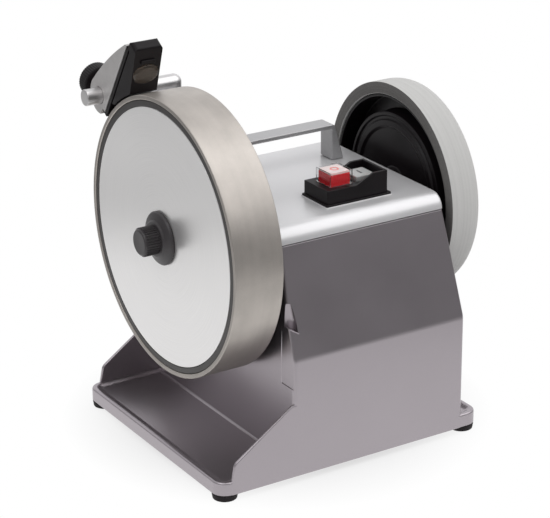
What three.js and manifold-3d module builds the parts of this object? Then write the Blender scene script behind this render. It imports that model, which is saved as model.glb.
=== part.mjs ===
// Bench-top electric knife sharpener: a diamond grinding wheel and an elastic honing wheel
// on one shaft, turned by a motor whose rubber roller runs inside the honing wheel.
// Units are millimetres. X runs along the shaft from the grinding wheel to the honing wheel,
// -Y is the front and +Z is up. While the pieces are placed, x = 0 is the grinding wheel's
// outer face, y = 0 the shaft's axis and z = 0 the bench. The finished group is then moved
// so that its origin is the middle of its footprint.
import * as THREE from 'three';
import { mergeVertices } from 'three/addons/utils/BufferGeometryUtils.js';
import Module from 'manifold-3d';

const wasm = await Module();
wasm.setup();

// Facet counts
const WHEEL_FACETS = 48;
const HUB_FACETS = 28;
const ROUND_FACETS = 16;
const SMALL_FACETS = 10;
const ARC_STEPS = 3;

// Common clearances
const seat = 0.3;
const overrun = 2;
const weldDistance = 0.001;

// Overall layout
const shaftHeight = 160;
const plateRise = 19.8;
const plateTop = shaftHeight + plateRise;
const bodyCentreY = -2.2;
const bodyHalfDepth = 96.7;
const topHalfDepth = 75.8;
const creaseHeight = 92.3;
const castingEdge = 11.7;
const seamHeight = plateTop - castingEdge;
const wallThickness = 3;

// Grinding wheel
const wheelRadius = 100;
const wheelWidth = 37.6;
const rimThickness = 3.3;
const rimChamfer = 0.5;
const coreInset = 0.6;
const coreWeb = 12;
const coreHubRadius = 22;
const coreRimWall = 12;
const discRadius = 91.9;
const discThickness = 1.2;

// Shaft and bearings
const shaftRadius = 6;
const shaftChamfer = 1;
const boreRadius = shaftRadius + seat;
const bushRadius = 9;
const sleeveRadius = 8.5;
const flangeRadius = 20;
const flangeThickness = 3;
const bearingWidth = 14;
const bearingHalfDepth = 14;
const bearingDrop = 14;

// Casing and base
const wheelToCasing = 8.4;
const casingLeft = wheelWidth + wheelToCasing;
const casingLength = 144;
const casingRight = casingLeft + casingLength;
const leftLean = 2;
const rightLean = 5.7;
const casingCorner = 3;
const baseLeft = -14;
const flangeReach = 15.7;
const baseRight = casingRight + flangeReach;
const baseThickness = 10;
const baseFloor = 3;
const baseCorner = 10;
const baseRim = 3;
const recessDepth = 2;
const recessCorner = 8;
const wingThickness = 2.5;
const coverThickness = 1.5;
const coverRimDrop = 2;

// Feet
const footHeight = 5;
const footRadius = 7.75;
const footInset = 9.5;

// Honing wheel
const honingGap = 2.55;
const honingNear = casingRight + honingGap;
const honingRadius = 78.3;
const honingWidth = 25.5;
const honingFarRadius = 73.7;
const honingInner = 69.5;
const driveRadius = 67;
const rollerRadius = 5.2;
const rollerLength = 12;
const innerRingRadius = 55.6;

// Motor
const motorAxisHeight = shaftHeight - (driveRadius - seat - rollerRadius);
const motorRadius = 42;
const motorShaftRadius = 4;
const motorNoseRadius = 3;

// Support bar and knife guide
const barRadius = 6;
const barClearance = 16.7;
const barDistance = wheelRadius + barClearance;
const barDirection = THREE.MathUtils.degToRad(44.27);
const barY = barDistance * Math.cos(barDirection);
const barZ = shaftHeight + barDistance * Math.sin(barDirection);
const legFromCasing = 13.5;
const legX = casingLeft + legFromCasing;
const barReach = 12;
const guideTilt = THREE.MathUtils.degToRad(32.3);
const guideWidth = 22;
const guideOverhang = 0.5;
const sleeveOuter = 10.5;
const sleeveRise = 18.2;

const colours = {
  casing: [0x9b979a, 0.42, 0.35],
  zinc: [0xc9c8cb, 0.35, 0.8],
  guideZinc: [0xa3a1a0, 0.5, 0.7],
  black: [0x1e1a1d, 0.45, 0],
  nut: [0x3a3839, 0.5, 0],
  rubber: [0x222222, 0.8, 0],
  steel: [0xb9b9bb, 0.3, 1],
  diamond: [0xb8b2aa, 0.5, 0.8],
  disc: [0xdcdbda, 0.3, 0.9],
  honing: [0xd9d8d6, 0.8, 0],
  red: [0xb3262b, 0.35, 0],
  pale: [0xdededc, 0.4, 0],
  clear: [0xe8eef0, 0.1, 0],
  bronze: [0xa9793f, 0.4, 0.9],
};

const assembly = new THREE.Group();

// Geometry helpers

function signedVolume(vertices, triangles) {
  const [a, b, c] = [new THREE.Vector3(), new THREE.Vector3(), new THREE.Vector3()];
  let sum = 0;
  for (let i = 0; i < triangles.length; i += 3) {
    a.fromArray(vertices, triangles[i] * 3);
    b.fromArray(vertices, triangles[i + 1] * 3);
    c.fromArray(vertices, triangles[i + 2] * 3);
    sum += a.dot(b.cross(c));
  }
  return sum;
}

// A closed three.js geometry as a solid whose faces point out.
function solid(geometry) {
  const bare = geometry.clone();
  bare.deleteAttribute('normal');
  bare.deleteAttribute('uv');
  const welded = mergeVertices(bare, weldDistance);
  const vertices = welded.attributes.position.array;
  const corners = welded.index.array;
  const triangles = [];
  for (let i = 0; i < corners.length; i += 3) {
    const [a, b, c] = [corners[i], corners[i + 1], corners[i + 2]];
    if (a !== b && b !== c && c !== a) triangles.push(a, b, c);
  }
  if (signedVolume(vertices, triangles) < 0) triangles.reverse();
  return new wasm.Manifold(
    new wasm.Mesh({ numProp: 3, vertProperties: vertices, triVerts: Uint32Array.from(triangles) }),
  );
}

// A solid back as a three.js geometry.
function shown(body) {
  const mesh = body.getMesh();
  const geometry = new THREE.BufferGeometry();
  geometry.setAttribute('position', new THREE.BufferAttribute(mesh.vertProperties, 3));
  geometry.setIndex(new THREE.BufferAttribute(mesh.triVerts, 1));
  geometry.computeVertexNormals();
  return geometry;
}

function place(name, body, colour, parent = assembly) {
  const [color, roughness, metalness] = colours[colour];
  const material = new THREE.MeshStandardMaterial({ color, roughness, metalness });
  if (colour === 'clear') {
    material.transparent = true;
    material.opacity = 0.35;
  }
  const mesh = new THREE.Mesh(shown(body), material);
  mesh.name = name;
  parent.add(mesh);
  return mesh;
}

const join = (...bodies) => bodies.reduce((whole, next) => whole.add(next));
const cut = (body, ...tools) => tools.reduce((whole, tool) => whole.subtract(tool), body);

function block(x0, x1, y0, y1, z0, z1) {
  const box = new THREE.BoxGeometry(x1 - x0, y1 - y0, z1 - z0);
  return solid(box.translate((x0 + x1) / 2, (y0 + y1) / 2, (z0 + z1) / 2));
}

// An outline whose corners [a, b, radius] are rounded where a radius is given.
function rounded(corners, steps = ARC_STEPS) {
  const points = [];
  corners.forEach(([a, b, radius = 0], i) => {
    const corner = new THREE.Vector2(a, b);
    if (radius === 0) {
      points.push(corner);
      return;
    }
    const before = corners[(i + corners.length - 1) % corners.length];
    const after = corners[(i + 1) % corners.length];
    const inward = new THREE.Vector2(before[0] - a, before[1] - b).normalize();
    const outward = new THREE.Vector2(after[0] - a, after[1] - b).normalize();
    const half = Math.acos(THREE.MathUtils.clamp(inward.dot(outward), -1, 1)) / 2;
    const reach = radius / Math.tan(half);
    const bisector = inward.clone().add(outward).normalize();
    const centre = corner.clone().addScaledVector(bisector, radius / Math.sin(half));
    const start = corner.clone().addScaledVector(inward, reach).sub(centre);
    const end = corner.clone().addScaledVector(outward, reach).sub(centre);
    let sweep = end.angle() - start.angle();
    if (sweep > Math.PI) sweep -= 2 * Math.PI;
    if (sweep < -Math.PI) sweep += 2 * Math.PI;
    for (let k = 0; k <= steps; k++) {
      const turn = start.angle() + (sweep * k) / steps;
      points.push(new THREE.Vector2(Math.cos(turn), Math.sin(turn)).multiplyScalar(radius).add(centre));
    }
  });
  return points;
}

const rectangle = (a0, a1, b0, b1, r = 0) => rounded([[a0, b0, r], [a1, b0, r], [a1, b1, r], [a0, b1, r]]);

// Prisms of an outline along X (outline in y, z), Y (outline in x, z) or Z (outline in x, y).
function prism(axis, outline, from, to) {
  const shape = new THREE.Shape(outline);
  const geometry = new THREE.ExtrudeGeometry(shape, { depth: to - from, bevelEnabled: false });
  const [x, y, z] = [new THREE.Vector3(1, 0, 0), new THREE.Vector3(0, 1, 0), new THREE.Vector3(0, 0, 1)];
  if (axis === 'x') geometry.applyMatrix4(new THREE.Matrix4().makeBasis(y, z, x)).translate(from, 0, 0);
  if (axis === 'y') {
    geometry.applyMatrix4(new THREE.Matrix4().makeBasis(x, z, y.negate())).translate(0, to, 0);
  }
  if (axis === 'z') geometry.translate(0, 0, from);
  return solid(geometry);
}

// A body turned about an axis along X at (y, z), from a profile of [x, radius] pairs.
// A profile that doesn't start on the axis closes on itself, so it makes a ring.
function turned(profile, y, z, facets) {
  const points = profile.map(([x, radius]) => new THREE.Vector2(radius, x));
  if (profile[0][1] > 0) points.push(points[0].clone());
  const geometry = new THREE.LatheGeometry(points, facets);
  return solid(geometry.rotateZ(-Math.PI / 2).translate(0, y, z));
}

// The same about a vertical axis at (x, y), from [z, radius] pairs.
function turnedUp(profile, x, y, facets) {
  const points = profile.map(([z, radius]) => new THREE.Vector2(radius, z));
  if (profile[0][1] > 0) points.push(points[0].clone());
  const geometry = new THREE.LatheGeometry(points, facets);
  return solid(geometry.rotateX(Math.PI / 2).translate(x, y, 0));
}

// The same about an axis along Y at (x, z), from [y, radius] pairs.
function turnedBack(profile, x, z, facets) {
  const points = profile.map(([y, radius]) => new THREE.Vector2(radius, y));
  if (profile[0][1] > 0) points.push(points[0].clone());
  const geometry = new THREE.LatheGeometry(points, facets);
  return solid(geometry.translate(x, 0, z));
}

const rod = (x0, x1, radius, y, z, facets) =>
  turned([[x0, 0], [x0, radius], [x1, radius], [x1, 0]], y, z, facets);
const post = (z0, z1, radius, x, y, facets) =>
  turnedUp([[z0, 0], [z0, radius], [z1, radius], [z1, 0]], x, y, facets);
const pin = (y0, y1, radius, x, z, facets) =>
  turnedBack([[y0, 0], [y0, radius], [y1, radius], [y1, 0]], x, z, facets);

// A round outline with ridges, for knobs.
function ridged(radius, depth, count) {
  const points = [];
  for (let i = 0; i < count * 4; i++) {
    const turn = (i / (count * 4)) * 2 * Math.PI;
    const reach = i % 4 < 2 ? radius : radius - depth;
    points.push(new THREE.Vector2(reach * Math.cos(turn), reach * Math.sin(turn)));
  }
  return points;
}

// A body through rounded rectangles [z, x0, x1, y0, y1, radius], one above the other.
function loft(levels) {
  const rings = levels.map(([z, x0, x1, y0, y1, r]) =>
    rectangle(x0, x1, y0, y1, r).map((p) => new THREE.Vector3(p.x, p.y, z)));
  const count = rings[0].length;
  const vertices = rings.flat().flatMap((p) => p.toArray());
  const triangles = [];
  for (let k = 0; k + 1 < rings.length; k++) {
    for (let i = 0; i < count; i++) {
      const [a, b] = [k * count + i, k * count + ((i + 1) % count)];
      triangles.push(a, b, b + count, a, b + count, a + count);
    }
  }
  const last = (rings.length - 1) * count;
  for (let i = 1; i + 1 < count; i++) {
    triangles.push(0, i + 1, i, last, last + i, last + i + 1);
  }
  const geometry = new THREE.BufferGeometry();
  geometry.setAttribute('position', new THREE.Float32BufferAttribute(vertices, 3));
  geometry.setIndex(triangles);
  return solid(geometry);
}

// Casing

// Inset outline of the casing at the base, the crease and the seam, as loft levels.
function casingLevels(inset, bottom, top) {
  const front = bodyCentreY - bodyHalfDepth + inset;
  const back = bodyCentreY + bodyHalfDepth - inset;
  const topFront = bodyCentreY - topHalfDepth + inset;
  const topBack = bodyCentreY + topHalfDepth - inset;
  const share = (top - creaseHeight) / (seamHeight - creaseHeight);
  const at = (low, high) => low + (high - low) * share;
  const corner = Math.max(casingCorner - inset, casingCorner / 3);
  const [left, right] = [casingLeft + inset, casingRight - inset];
  return [
    [bottom, left, right, front, back, corner],
    [creaseHeight, left, right, front, back, corner],
    [top, at(left, left + leftLean), at(right, right - rightLean), at(front, topFront), at(back, topBack),
      corner],
  ];
}

// One slanted side wing of the dust tray, seen from the front as (x, z).
function wing(y0, y1) {
  const slope = { rise: 44.5, leftInset: 12.4, leftHeight: 12.6, footInset: 9.4, corner: 6 };
  const baseTop = footHeight + baseThickness;
  const inside = casingLeft + wallThickness / 2;
  return prism('y', rounded([
    [inside, baseTop - recessDepth - baseFloor / 2],
    [inside, baseTop + slope.rise],
    [casingLeft - wallThickness / 2, baseTop + slope.rise],
    [baseLeft + slope.leftInset, baseTop + slope.leftHeight, slope.corner],
    [baseLeft + slope.footInset, baseTop - recessDepth - baseFloor / 2],
  ]), y0, y1);
}

function footPlaces() {
  const xs = [baseLeft + footInset, baseRight - footInset];
  const ys = [bodyCentreY - bodyHalfDepth + footInset, bodyCentreY + bodyHalfDepth - footInset];
  return [
    ['front_left', xs[0], ys[0]], ['front_right', xs[1], ys[0]],
    ['rear_left', xs[0], ys[1]], ['rear_right', xs[1], ys[1]],
  ];
}

const footScrew = { radius: 2, head: 3.6, headHeight: 2, length: 9, counterbore: 4.2, sink: 2.6, boss: 5.5 };
const cordGland = {
  fromRight: 40, height: 42, radius: 6, flange: 9, flangeThickness: 2.5, bore: 3.6, tail: 8,
};
const topScrew = { radius: 2, head: 3.8, headHeight: 2.6, lug: 6, lugThickness: 4, fromSeam: 12, inset: 13 };
const wallSlot = { halfWidth: 10, depth: 10 };
const rollerHole = 9;

function topScrewPlaces() {
  const xs = [casingLeft + leftLean + topScrew.inset, casingRight - rightLean - topScrew.inset];
  const reach = topHalfDepth - topScrew.inset;
  const ys = [bodyCentreY - reach, bodyCentreY + reach];
  return [
    ['front_left', xs[0], ys[0]], ['front_right', xs[1], ys[0]],
    ['rear_left', xs[0], ys[1]], ['rear_right', xs[1], ys[1]],
  ];
}

function makeCasing() {
  const [front, back] = [bodyCentreY - bodyHalfDepth, bodyCentreY + bodyHalfDepth];
  const [bottom, top] = [footHeight, footHeight + baseThickness];
  const floor = top - recessDepth;
  const under = floor - baseFloor;
  const base = prism('z', rectangle(baseLeft, baseRight, front, back, baseCorner), bottom, top);
  const tray = prism('z',
    rectangle(baseLeft + baseRim, casingLeft + overrun, front + baseRim, back - baseRim, recessCorner),
    floor, top + overrun);
  const ledge = prism('z',
    rectangle(casingRight - casingCorner, baseRight - baseRim, front + baseRim, back - baseRim,
      recessCorner / 2),
    floor, top + overrun);
  const hollow = prism('z',
    rectangle(baseLeft + baseRim, baseRight - baseRim, front + baseRim, back - baseRim, recessCorner),
    bottom - overrun, under);
  const shellBottom = under - coverRimDrop;
  let casing = cut(base, tray, ledge, hollow);
  casing = join(casing, loft(casingLevels(0, shellBottom, seamHeight)));
  casing = join(casing, wing(front, front + wingThickness), wing(back - wingThickness, back));
  // Low pad on the wheel side next to the front edge
  const pad = { thickness: 0.8, width: 16, belowCrease: 23.3, aboveCrease: 19.7 };
  casing = join(casing, block(casingLeft - pad.thickness, casingLeft + wallThickness / 2,
    front + casingCorner, front + pad.width, creaseHeight - pad.belowCrease, creaseHeight + pad.aboveCrease));
  casing = cut(casing, loft(casingLevels(wallThickness, shellBottom - overrun, seamHeight + overrun)));
  // Finger notch in the front edge beside the wheel
  const notch = { radius: 5.5, aboveCrease: 22.7, height: 18, inset: 2.2 };
  const notchLow = creaseHeight + notch.aboveCrease;
  const share = notch.aboveCrease / (seamHeight - creaseHeight);
  const frontThere = front + (bodyHalfDepth - topHalfDepth) * share;
  const notchWall = post(notchLow - wallThickness, notchLow + notch.height + wallThickness,
    notch.radius + wallThickness, casingLeft + notch.inset, frontThere + notch.inset, ROUND_FACETS);
  const within = loft(casingLevels(0, shellBottom, seamHeight));
  casing = join(casing, notchWall.intersect(within));
  casing = cut(casing, post(notchLow, notchLow + notch.height,
    notch.radius, casingLeft + notch.inset, frontThere + notch.inset, ROUND_FACETS));
  // Bosses for the feet, and lugs for the screws of the top
  for (const [, x, y] of footPlaces()) {
    casing = join(casing, post(bottom + seat, under + baseFloor / 2, footScrew.boss, x, y, ROUND_FACETS));
    casing = cut(casing, post(bottom - overrun, bottom + footScrew.length - footScrew.sink,
      footScrew.radius + seat, x, y, SMALL_FACETS));
  }
  for (const [, x, y] of topScrewPlaces()) {
    const high = seamHeight - topScrew.fromSeam;
    const low = high - topScrew.lugThickness;
    const side = Math.sign(x - (casingLeft + casingRight) / 2);
    const wall = (side < 0 ? casingLeft : casingRight) - (side * wallThickness) / 2;
    const lug = join(post(low, high, topScrew.lug, x, y, ROUND_FACETS),
      block(Math.min(x, wall), Math.max(x, wall), y - topScrew.lug, y + topScrew.lug, low, high));
    casing = join(casing, lug.intersect(within));
    casing = cut(casing, post(low - overrun, high + overrun, topScrew.radius + seat, x, y, SMALL_FACETS));
  }
  // Slots for the shaft, hole for the roller's shaft, and hole for the cord
  casing = cut(casing,
    block(casingLeft - overrun, casingRight + overrun, -wallSlot.halfWidth, wallSlot.halfWidth,
      shaftHeight - wallSlot.depth, seamHeight + overrun),
    rod((casingLeft + casingRight) / 2, casingRight + overrun, rollerHole, 0, motorAxisHeight, ROUND_FACETS),
    pin(back - wallThickness - overrun, back + overrun, cordGland.radius + seat,
      casingRight - cordGland.fromRight, cordGland.height, ROUND_FACETS));
  place('casing', casing, 'casing');
}

function makeBottomCover() {
  const top = footHeight + baseThickness - recessDepth - baseFloor - coverRimDrop - seat;
  const side = baseRim + seat;
  place('bottom_cover', prism('z', rectangle(casingLeft - wallThickness, casingRight,
    bodyCentreY - bodyHalfDepth + side, bodyCentreY + bodyHalfDepth - side, casingCorner),
  top - coverThickness, top), 'steel');
}

function makeFeet() {
  const edge = 1;
  for (const [where, x, y] of footPlaces()) {
    place(`foot_${where}`, turnedUp([
      [0, footScrew.counterbore], [0, footRadius - edge], [edge, footRadius], [footHeight, footRadius],
      [footHeight, footScrew.radius + seat], [footScrew.sink, footScrew.radius + seat],
      [footScrew.sink, footScrew.counterbore],
    ], x, y, ROUND_FACETS), 'rubber');
    const headTop = footScrew.sink - seat;
    place(`foot_screw_${where}`, turnedUp([
      [headTop - footScrew.headHeight, 0], [headTop - footScrew.headHeight, footScrew.head],
      [headTop, footScrew.head], [headTop, footScrew.radius],
      [headTop + footScrew.length - seat, footScrew.radius], [headTop + footScrew.length - seat, 0],
    ], x, y, SMALL_FACETS), 'steel');
  }
}

function makeCordGland() {
  const back = bodyCentreY + bodyHalfDepth;
  const inner = back - wallThickness - cordGland.tail;
  place('cord_gland', turnedBack([
    [inner, cordGland.bore], [inner, cordGland.radius], [back + seat, cordGland.radius],
    [back + seat, cordGland.flange],
    [back + seat + cordGland.flangeThickness, cordGland.flange - cordGland.flangeThickness / 2],
    [back + seat + cordGland.flangeThickness, cordGland.bore],
  ], casingRight - cordGland.fromRight, cordGland.height, ROUND_FACETS), 'black');
}

// Top casting

const plateThickness = 6;
const plateUnder = plateTop - plateThickness;
const castingLeft = casingLeft + leftLean;
const castingRight = casingRight - rightLean;
const castingFront = bodyCentreY - topHalfDepth;
const castingBack = bodyCentreY + topHalfDepth;
const bearingGap = 1.6;
const bearingLeft = castingLeft + wallThickness + bearingGap;
const bearingRight = castingRight - wallThickness - bearingGap - bearingWidth;
const skirtThickness = 9.6;
const handleSpan = {
  inset: 15.8, depth: 15.5, fromBack: 33.5, rise: 27.5, thick: 3.3, foot: 10.2, draw: 7.8, corner: 3,
};
const switchPlan = { fromFront: 19.3, fromRight: 32.4, length: 54.5, depth: 32.8 };

function handleSides() {
  const back = castingBack - handleSpan.fromBack;
  const [left, right] = [castingLeft + handleSpan.inset, castingRight - handleSpan.inset];
  return { left, right, front: back - handleSpan.depth, back };
}

function makeTopCasting() {
  const bottom = seamHeight + seat;
  const roundShare = 0.98;
  const round = (castingEdge - seat) * roundShare;
  const side = 1.6;
  const lengthwise = prism('x', rounded([
    [castingFront, bottom], [castingBack, bottom],
    [castingBack, plateTop, round], [castingFront, plateTop, round],
  ], 6), castingLeft, castingRight);
  const across = prism('y', rounded([
    [castingLeft, bottom], [castingRight, bottom],
    [castingRight, plateTop, side], [castingLeft, plateTop, side],
  ], 3), castingFront - overrun, castingBack + overrun);
  let casting = lengthwise.intersect(across);
  casting = cut(casting, block(castingLeft + plateThickness, castingRight - plateThickness,
    castingFront + skirtThickness, castingBack - skirtThickness, bottom - overrun, plateUnder));
  // Bearing blocks under the plate
  for (const x of [bearingLeft, bearingRight]) {
    casting = join(casting, block(x, x + bearingWidth, -bearingHalfDepth, bearingHalfDepth,
      shaftHeight - bearingDrop, plateUnder + plateThickness / 2));
    casting = cut(casting,
      rod(x - overrun, x + bearingWidth + overrun, bushRadius + seat, 0, shaftHeight, ROUND_FACETS));
  }
  // Side skirts leave room for the sleeves on the shaft
  const skirts = [[castingLeft - overrun, bearingLeft], [bearingRight + bearingWidth, castingRight + overrun]];
  for (const [x0, x1] of skirts) {
    casting = cut(casting, rod(x0, x1, sleeveRadius + seat, 0, shaftHeight, ROUND_FACETS));
  }
  // Sleeve for the support bar's leg, with the hole for its lock screw
  casting = join(casting,
    block(legX - sleeveOuter, legX + sleeveOuter, castingBack - plateThickness * 2, barY, bottom, plateTop),
    post(bottom, plateTop + sleeveRise, sleeveOuter, legX, barY, ROUND_FACETS));
  // Posts for the screws that hold the casting to the casing
  for (const [, x, y] of topScrewPlaces()) {
    const low = seamHeight - topScrew.fromSeam;
    casting = join(casting,
      post(low + seat, plateUnder + plateThickness / 2, topScrew.lug, x, y, ROUND_FACETS));
    casting = cut(casting, post(low - overrun, plateUnder, topScrew.radius + seat, x, y, SMALL_FACETS));
  }
  casting = cut(casting,
    post(bottom - overrun, plateTop + sleeveRise + overrun, barRadius + seat, legX, barY, ROUND_FACETS),
    pin(barY, barY + sleeveOuter + overrun, barLock.shank + seat, legX, plateTop + barLock.rise,
      SMALL_FACETS));
  // Screw holes of the handle, and the cut-out for the switch
  const sides = handleSides();
  for (const x of [sides.left + handleScrew.inset, sides.right - handleScrew.inset]) {
    casting = cut(casting, post(plateUnder - overrun, plateTop + overrun, handleScrew.radius + seat,
      x, (sides.front + sides.back) / 2, SMALL_FACETS));
  }
  const box = switchBox();
  casting = cut(casting, block(box.body.x0 - seat, box.body.x1 + seat, box.body.y0 - seat, box.body.y1 + seat,
    plateUnder - overrun, plateTop + overrun));
  place('top_casting', casting, 'zinc');
  for (const [where, x, y] of topScrewPlaces()) {
    const under = seamHeight - topScrew.fromSeam - topScrew.lugThickness - seat;
    place(`top_screw_${where}`, turnedUp([
      [under - topScrew.headHeight, 0], [under - topScrew.headHeight, topScrew.head], [under, topScrew.head],
      [under, topScrew.radius], [plateUnder - seat, topScrew.radius], [plateUnder - seat, 0],
    ], x, y, SMALL_FACETS), 'steel');
  }
}

const handleScrew = { inset: 4.8, radius: 2, head: 3.8, headHeight: 2.4, bite: 11 };
const barLock = { shank: 3, rise: 9, radius: 10, length: 16, ridges: 12, ridgeDepth: 1 };

function makeHandle() {
  const { left, right, front, back } = handleSides();
  const foot = plateTop + seat;
  const top = plateTop + handleSpan.rise;
  let handle = prism('y', rounded([
    [left, foot], [left + handleSpan.foot, foot],
    [left + handleSpan.foot, top - handleSpan.thick, handleSpan.corner / 3],
    [right - handleSpan.foot, top - handleSpan.thick, handleSpan.corner / 3],
    [right - handleSpan.foot, foot], [right, foot],
    [right - handleSpan.draw, top, handleSpan.corner], [left + handleSpan.draw, top, handleSpan.corner],
  ]), front, back);
  const middle = (front + back) / 2;
  for (const [where, x] of [['left', left + handleScrew.inset], ['right', right - handleScrew.inset]]) {
    handle = cut(handle,
      post(foot - overrun, foot + handleScrew.bite, handleScrew.radius + seat, x, middle, SMALL_FACETS));
    const under = plateUnder - seat;
    place(`handle_screw_${where}`, turnedUp([
      [under - handleScrew.headHeight, 0], [under - handleScrew.headHeight, handleScrew.head],
      [under, handleScrew.head], [under, handleScrew.radius],
      [foot + handleScrew.bite - seat, handleScrew.radius], [foot + handleScrew.bite - seat, 0],
    ], x, middle, SMALL_FACETS), 'steel');
  }
  place('carry_handle', handle, 'zinc');
}

// Switch

const switchSizes = {
  flange: 1.5, flangeEdge: 1.5, low: 11.3, high: 17.9, rampStart: 24.2, rampEnd: 38.2, wall: 2,
  button: 16, buttonPlay: 0.4, buttonCorner: 1, stopFromLeft: 7.3, startFromLeft: 28.3, stopHeight: 21.4,
  startHeight: 15.2, travel: 3, bodyTop: 0.8, bodyDrop: 24, shroudGap: 0.6, shroudWall: 0.8, shroudHeight: 9.6, plinth: 2,
};

function switchBox() {
  const s = switchSizes;
  const x1 = castingRight - switchPlan.fromRight + s.flangeEdge;
  const x0 = x1 - switchPlan.length;
  const y0 = castingFront + switchPlan.fromFront;
  const y1 = y0 + switchPlan.depth;
  const outer = {
    x0: x0 + s.flangeEdge, x1: x1 - s.flangeEdge * 2, y0: y0 + s.flangeEdge, y1: y1 - s.flangeEdge,
  };
  const middle = (y0 + y1) / 2;
  const half = s.button / 2;
  const square = (fromLeft) => (
    { x0: outer.x0 + fromLeft, x1: outer.x0 + fromLeft + s.button, y0: middle - half, y1: middle + half });
  const [stop, start] = [square(s.stopFromLeft), square(s.startFromLeft)];
  const inset = s.wall + s.plinth;
  const body = { x0: outer.x0 + inset, x1: outer.x1 - inset, y0: outer.y0 + s.wall, y1: outer.y1 - s.wall };
  return { flange: { x0, x1, y0, y1 }, outer, stop, start, body };
}

function makeSwitch() {
  const s = switchSizes;
  const { flange, outer, stop, start, body } = switchBox();
  const base = plateTop + seat;
  const low = base + s.low;
  let housing = join(
    prism('z', rectangle(flange.x0, flange.x1, flange.y0, flange.y1, s.flangeEdge), base, base + s.flange),
    prism('y', rounded([
      [outer.x0, base], [outer.x1, base], [outer.x1, base + s.high], [outer.x0 + s.rampEnd, base + s.high],
      [outer.x0 + s.rampStart, low], [outer.x0, low],
    ]), outer.y0, outer.y1));
  const above = base + s.high + overrun;
  const well = (b) => block(b.x0 - s.buttonPlay, b.x1 + s.buttonPlay,
    b.y0 - s.buttonPlay, b.y1 + s.buttonPlay, base - overrun, above);
  housing = cut(housing,
    block(outer.x0 + s.rampStart + s.wall, outer.x1 - s.wall, outer.y0 + s.wall, outer.y1 - s.wall, low, above),
    well(stop), well(start),
    block(body.x0 - seat, body.x1 + seat, body.y0 - seat, body.y1 + seat,
      base - overrun, base + s.bodyTop + seat));
  place('switch_housing', housing, 'black');
  const buttonBottom = base + s.bodyTop + s.travel + seat;
  const button = (b, height) =>
    prism('z', rectangle(b.x0, b.x1, b.y0, b.y1, s.buttonCorner), buttonBottom, plateTop + height);
  place('stop_button', button(stop, s.stopHeight), 'red');
  place('start_button', button(start, s.startHeight), 'pale');
  const ring = (grow) => [stop.x0 - grow, stop.x1 + grow, stop.y0 - grow, stop.y1 + grow];
  const tube = cut(
    prism('z', rectangle(...ring(s.shroudGap + s.shroudWall), s.buttonCorner),
      low + seat, low + seat + s.shroudHeight),
    prism('z', rectangle(...ring(s.shroudGap)), low - overrun, low + s.shroudHeight + overrun));
  place('stop_button_collar', tube, 'clear');
  place('switch_body', block(body.x0, body.x1, body.y0, body.y1,
    plateTop - s.bodyDrop, base + s.bodyTop), 'black');
}

// Grinding wheel and shaft

const coreFront = coreInset;
const coreBack = wheelWidth - coreInset;
const flangeFront = coreBack + seat;
const nut = {
  flange: 19.2, plain: 1.8, coneEnd: 5.8, neck: 10.4, grip: 10.2, gripDepth: 0.7, ridges: 18, end: 17.5,
  chamfer: 1.2, socket: 11,
};
const dish = {
  hubRadius: 14, hubNear: 1.25, face: 4.6, faceRadius: 45, crest: 3, crestInner: 46.5, crestOuter: 50,
  step: 5.1, stepRadius: 51.2, ringEdge: 0.8, groove: 17, rim: 1.6, back: 20.5, wallBack: 22,
  webThickness: 6, hubBack: 14, hubBackRadius: 17,
};
const dishNut = { radius: 10, flats: 6, length: 6, washer: 12.5, washerThickness: 1.6 };

function makeGrindingWheel() {
  const R = wheelRadius;
  const inner = R - rimThickness;
  place('diamond_rim', turned([
    [0, inner], [0, R - rimChamfer], [rimChamfer, R], [wheelWidth - rimChamfer, R],
    [wheelWidth, R - rimChamfer], [wheelWidth, inner],
  ], 0, shaftHeight, WHEEL_FACETS), 'diamond');
  const pocket = coreFront + discThickness + seat;
  const outer = inner - seat;
  place('wheel_core', turned([
    [pocket, boreRadius], [pocket, discRadius + seat], [coreFront, discRadius + seat], [coreFront, outer],
    [coreBack, outer], [coreBack, outer - coreRimWall], [pocket + coreWeb, outer - coreRimWall],
    [pocket + coreWeb, coreHubRadius], [coreBack, coreHubRadius], [coreBack, boreRadius],
  ], 0, shaftHeight, WHEEL_FACETS), 'nut');
  place('wheel_face_disc', turned([
    [coreFront, boreRadius], [coreFront, discRadius], [coreFront + discThickness, discRadius],
    [coreFront + discThickness, boreRadius],
  ], 0, shaftHeight, WHEEL_FACETS), 'disc');
}

function makeShaft() {
  const left = coreFront - nut.socket + seat;
  const right = honingNear + dish.hubBack + dishNut.washerThickness + dishNut.length + seat * 2;
  place('main_shaft', turned([
    [left, 0], [left, shaftRadius - shaftChamfer], [left + shaftChamfer, shaftRadius],
    [right - shaftChamfer, shaftRadius], [right, shaftRadius - shaftChamfer], [right, 0],
  ], 0, shaftHeight, ROUND_FACETS), 'steel');
  place('wheel_flange', turned([
    [flangeFront, boreRadius], [flangeFront, flangeRadius], [flangeFront + flangeThickness, flangeRadius],
    [flangeFront + flangeThickness, sleeveRadius],
    [bearingLeft - seat, sleeveRadius], [bearingLeft - seat, boreRadius],
  ], 0, shaftHeight, HUB_FACETS), 'steel');
  for (const [name, x] of [['bush_wheel_side', bearingLeft], ['bush_honing_side', bearingRight]]) {
    place(name, turned([
      [x, boreRadius], [x, bushRadius], [x + bearingWidth, bushRadius], [x + bearingWidth, boreRadius],
    ], 0, shaftHeight, ROUND_FACETS), 'bronze');
  }
  const from = bearingRight + bearingWidth + seat;
  const to = honingNear - dish.hubNear - seat;
  place('spacer_sleeve', turned([
    [from, boreRadius], [from, sleeveRadius], [to, sleeveRadius], [to, boreRadius],
  ], 0, shaftHeight, ROUND_FACETS), 'steel');
}

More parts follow.
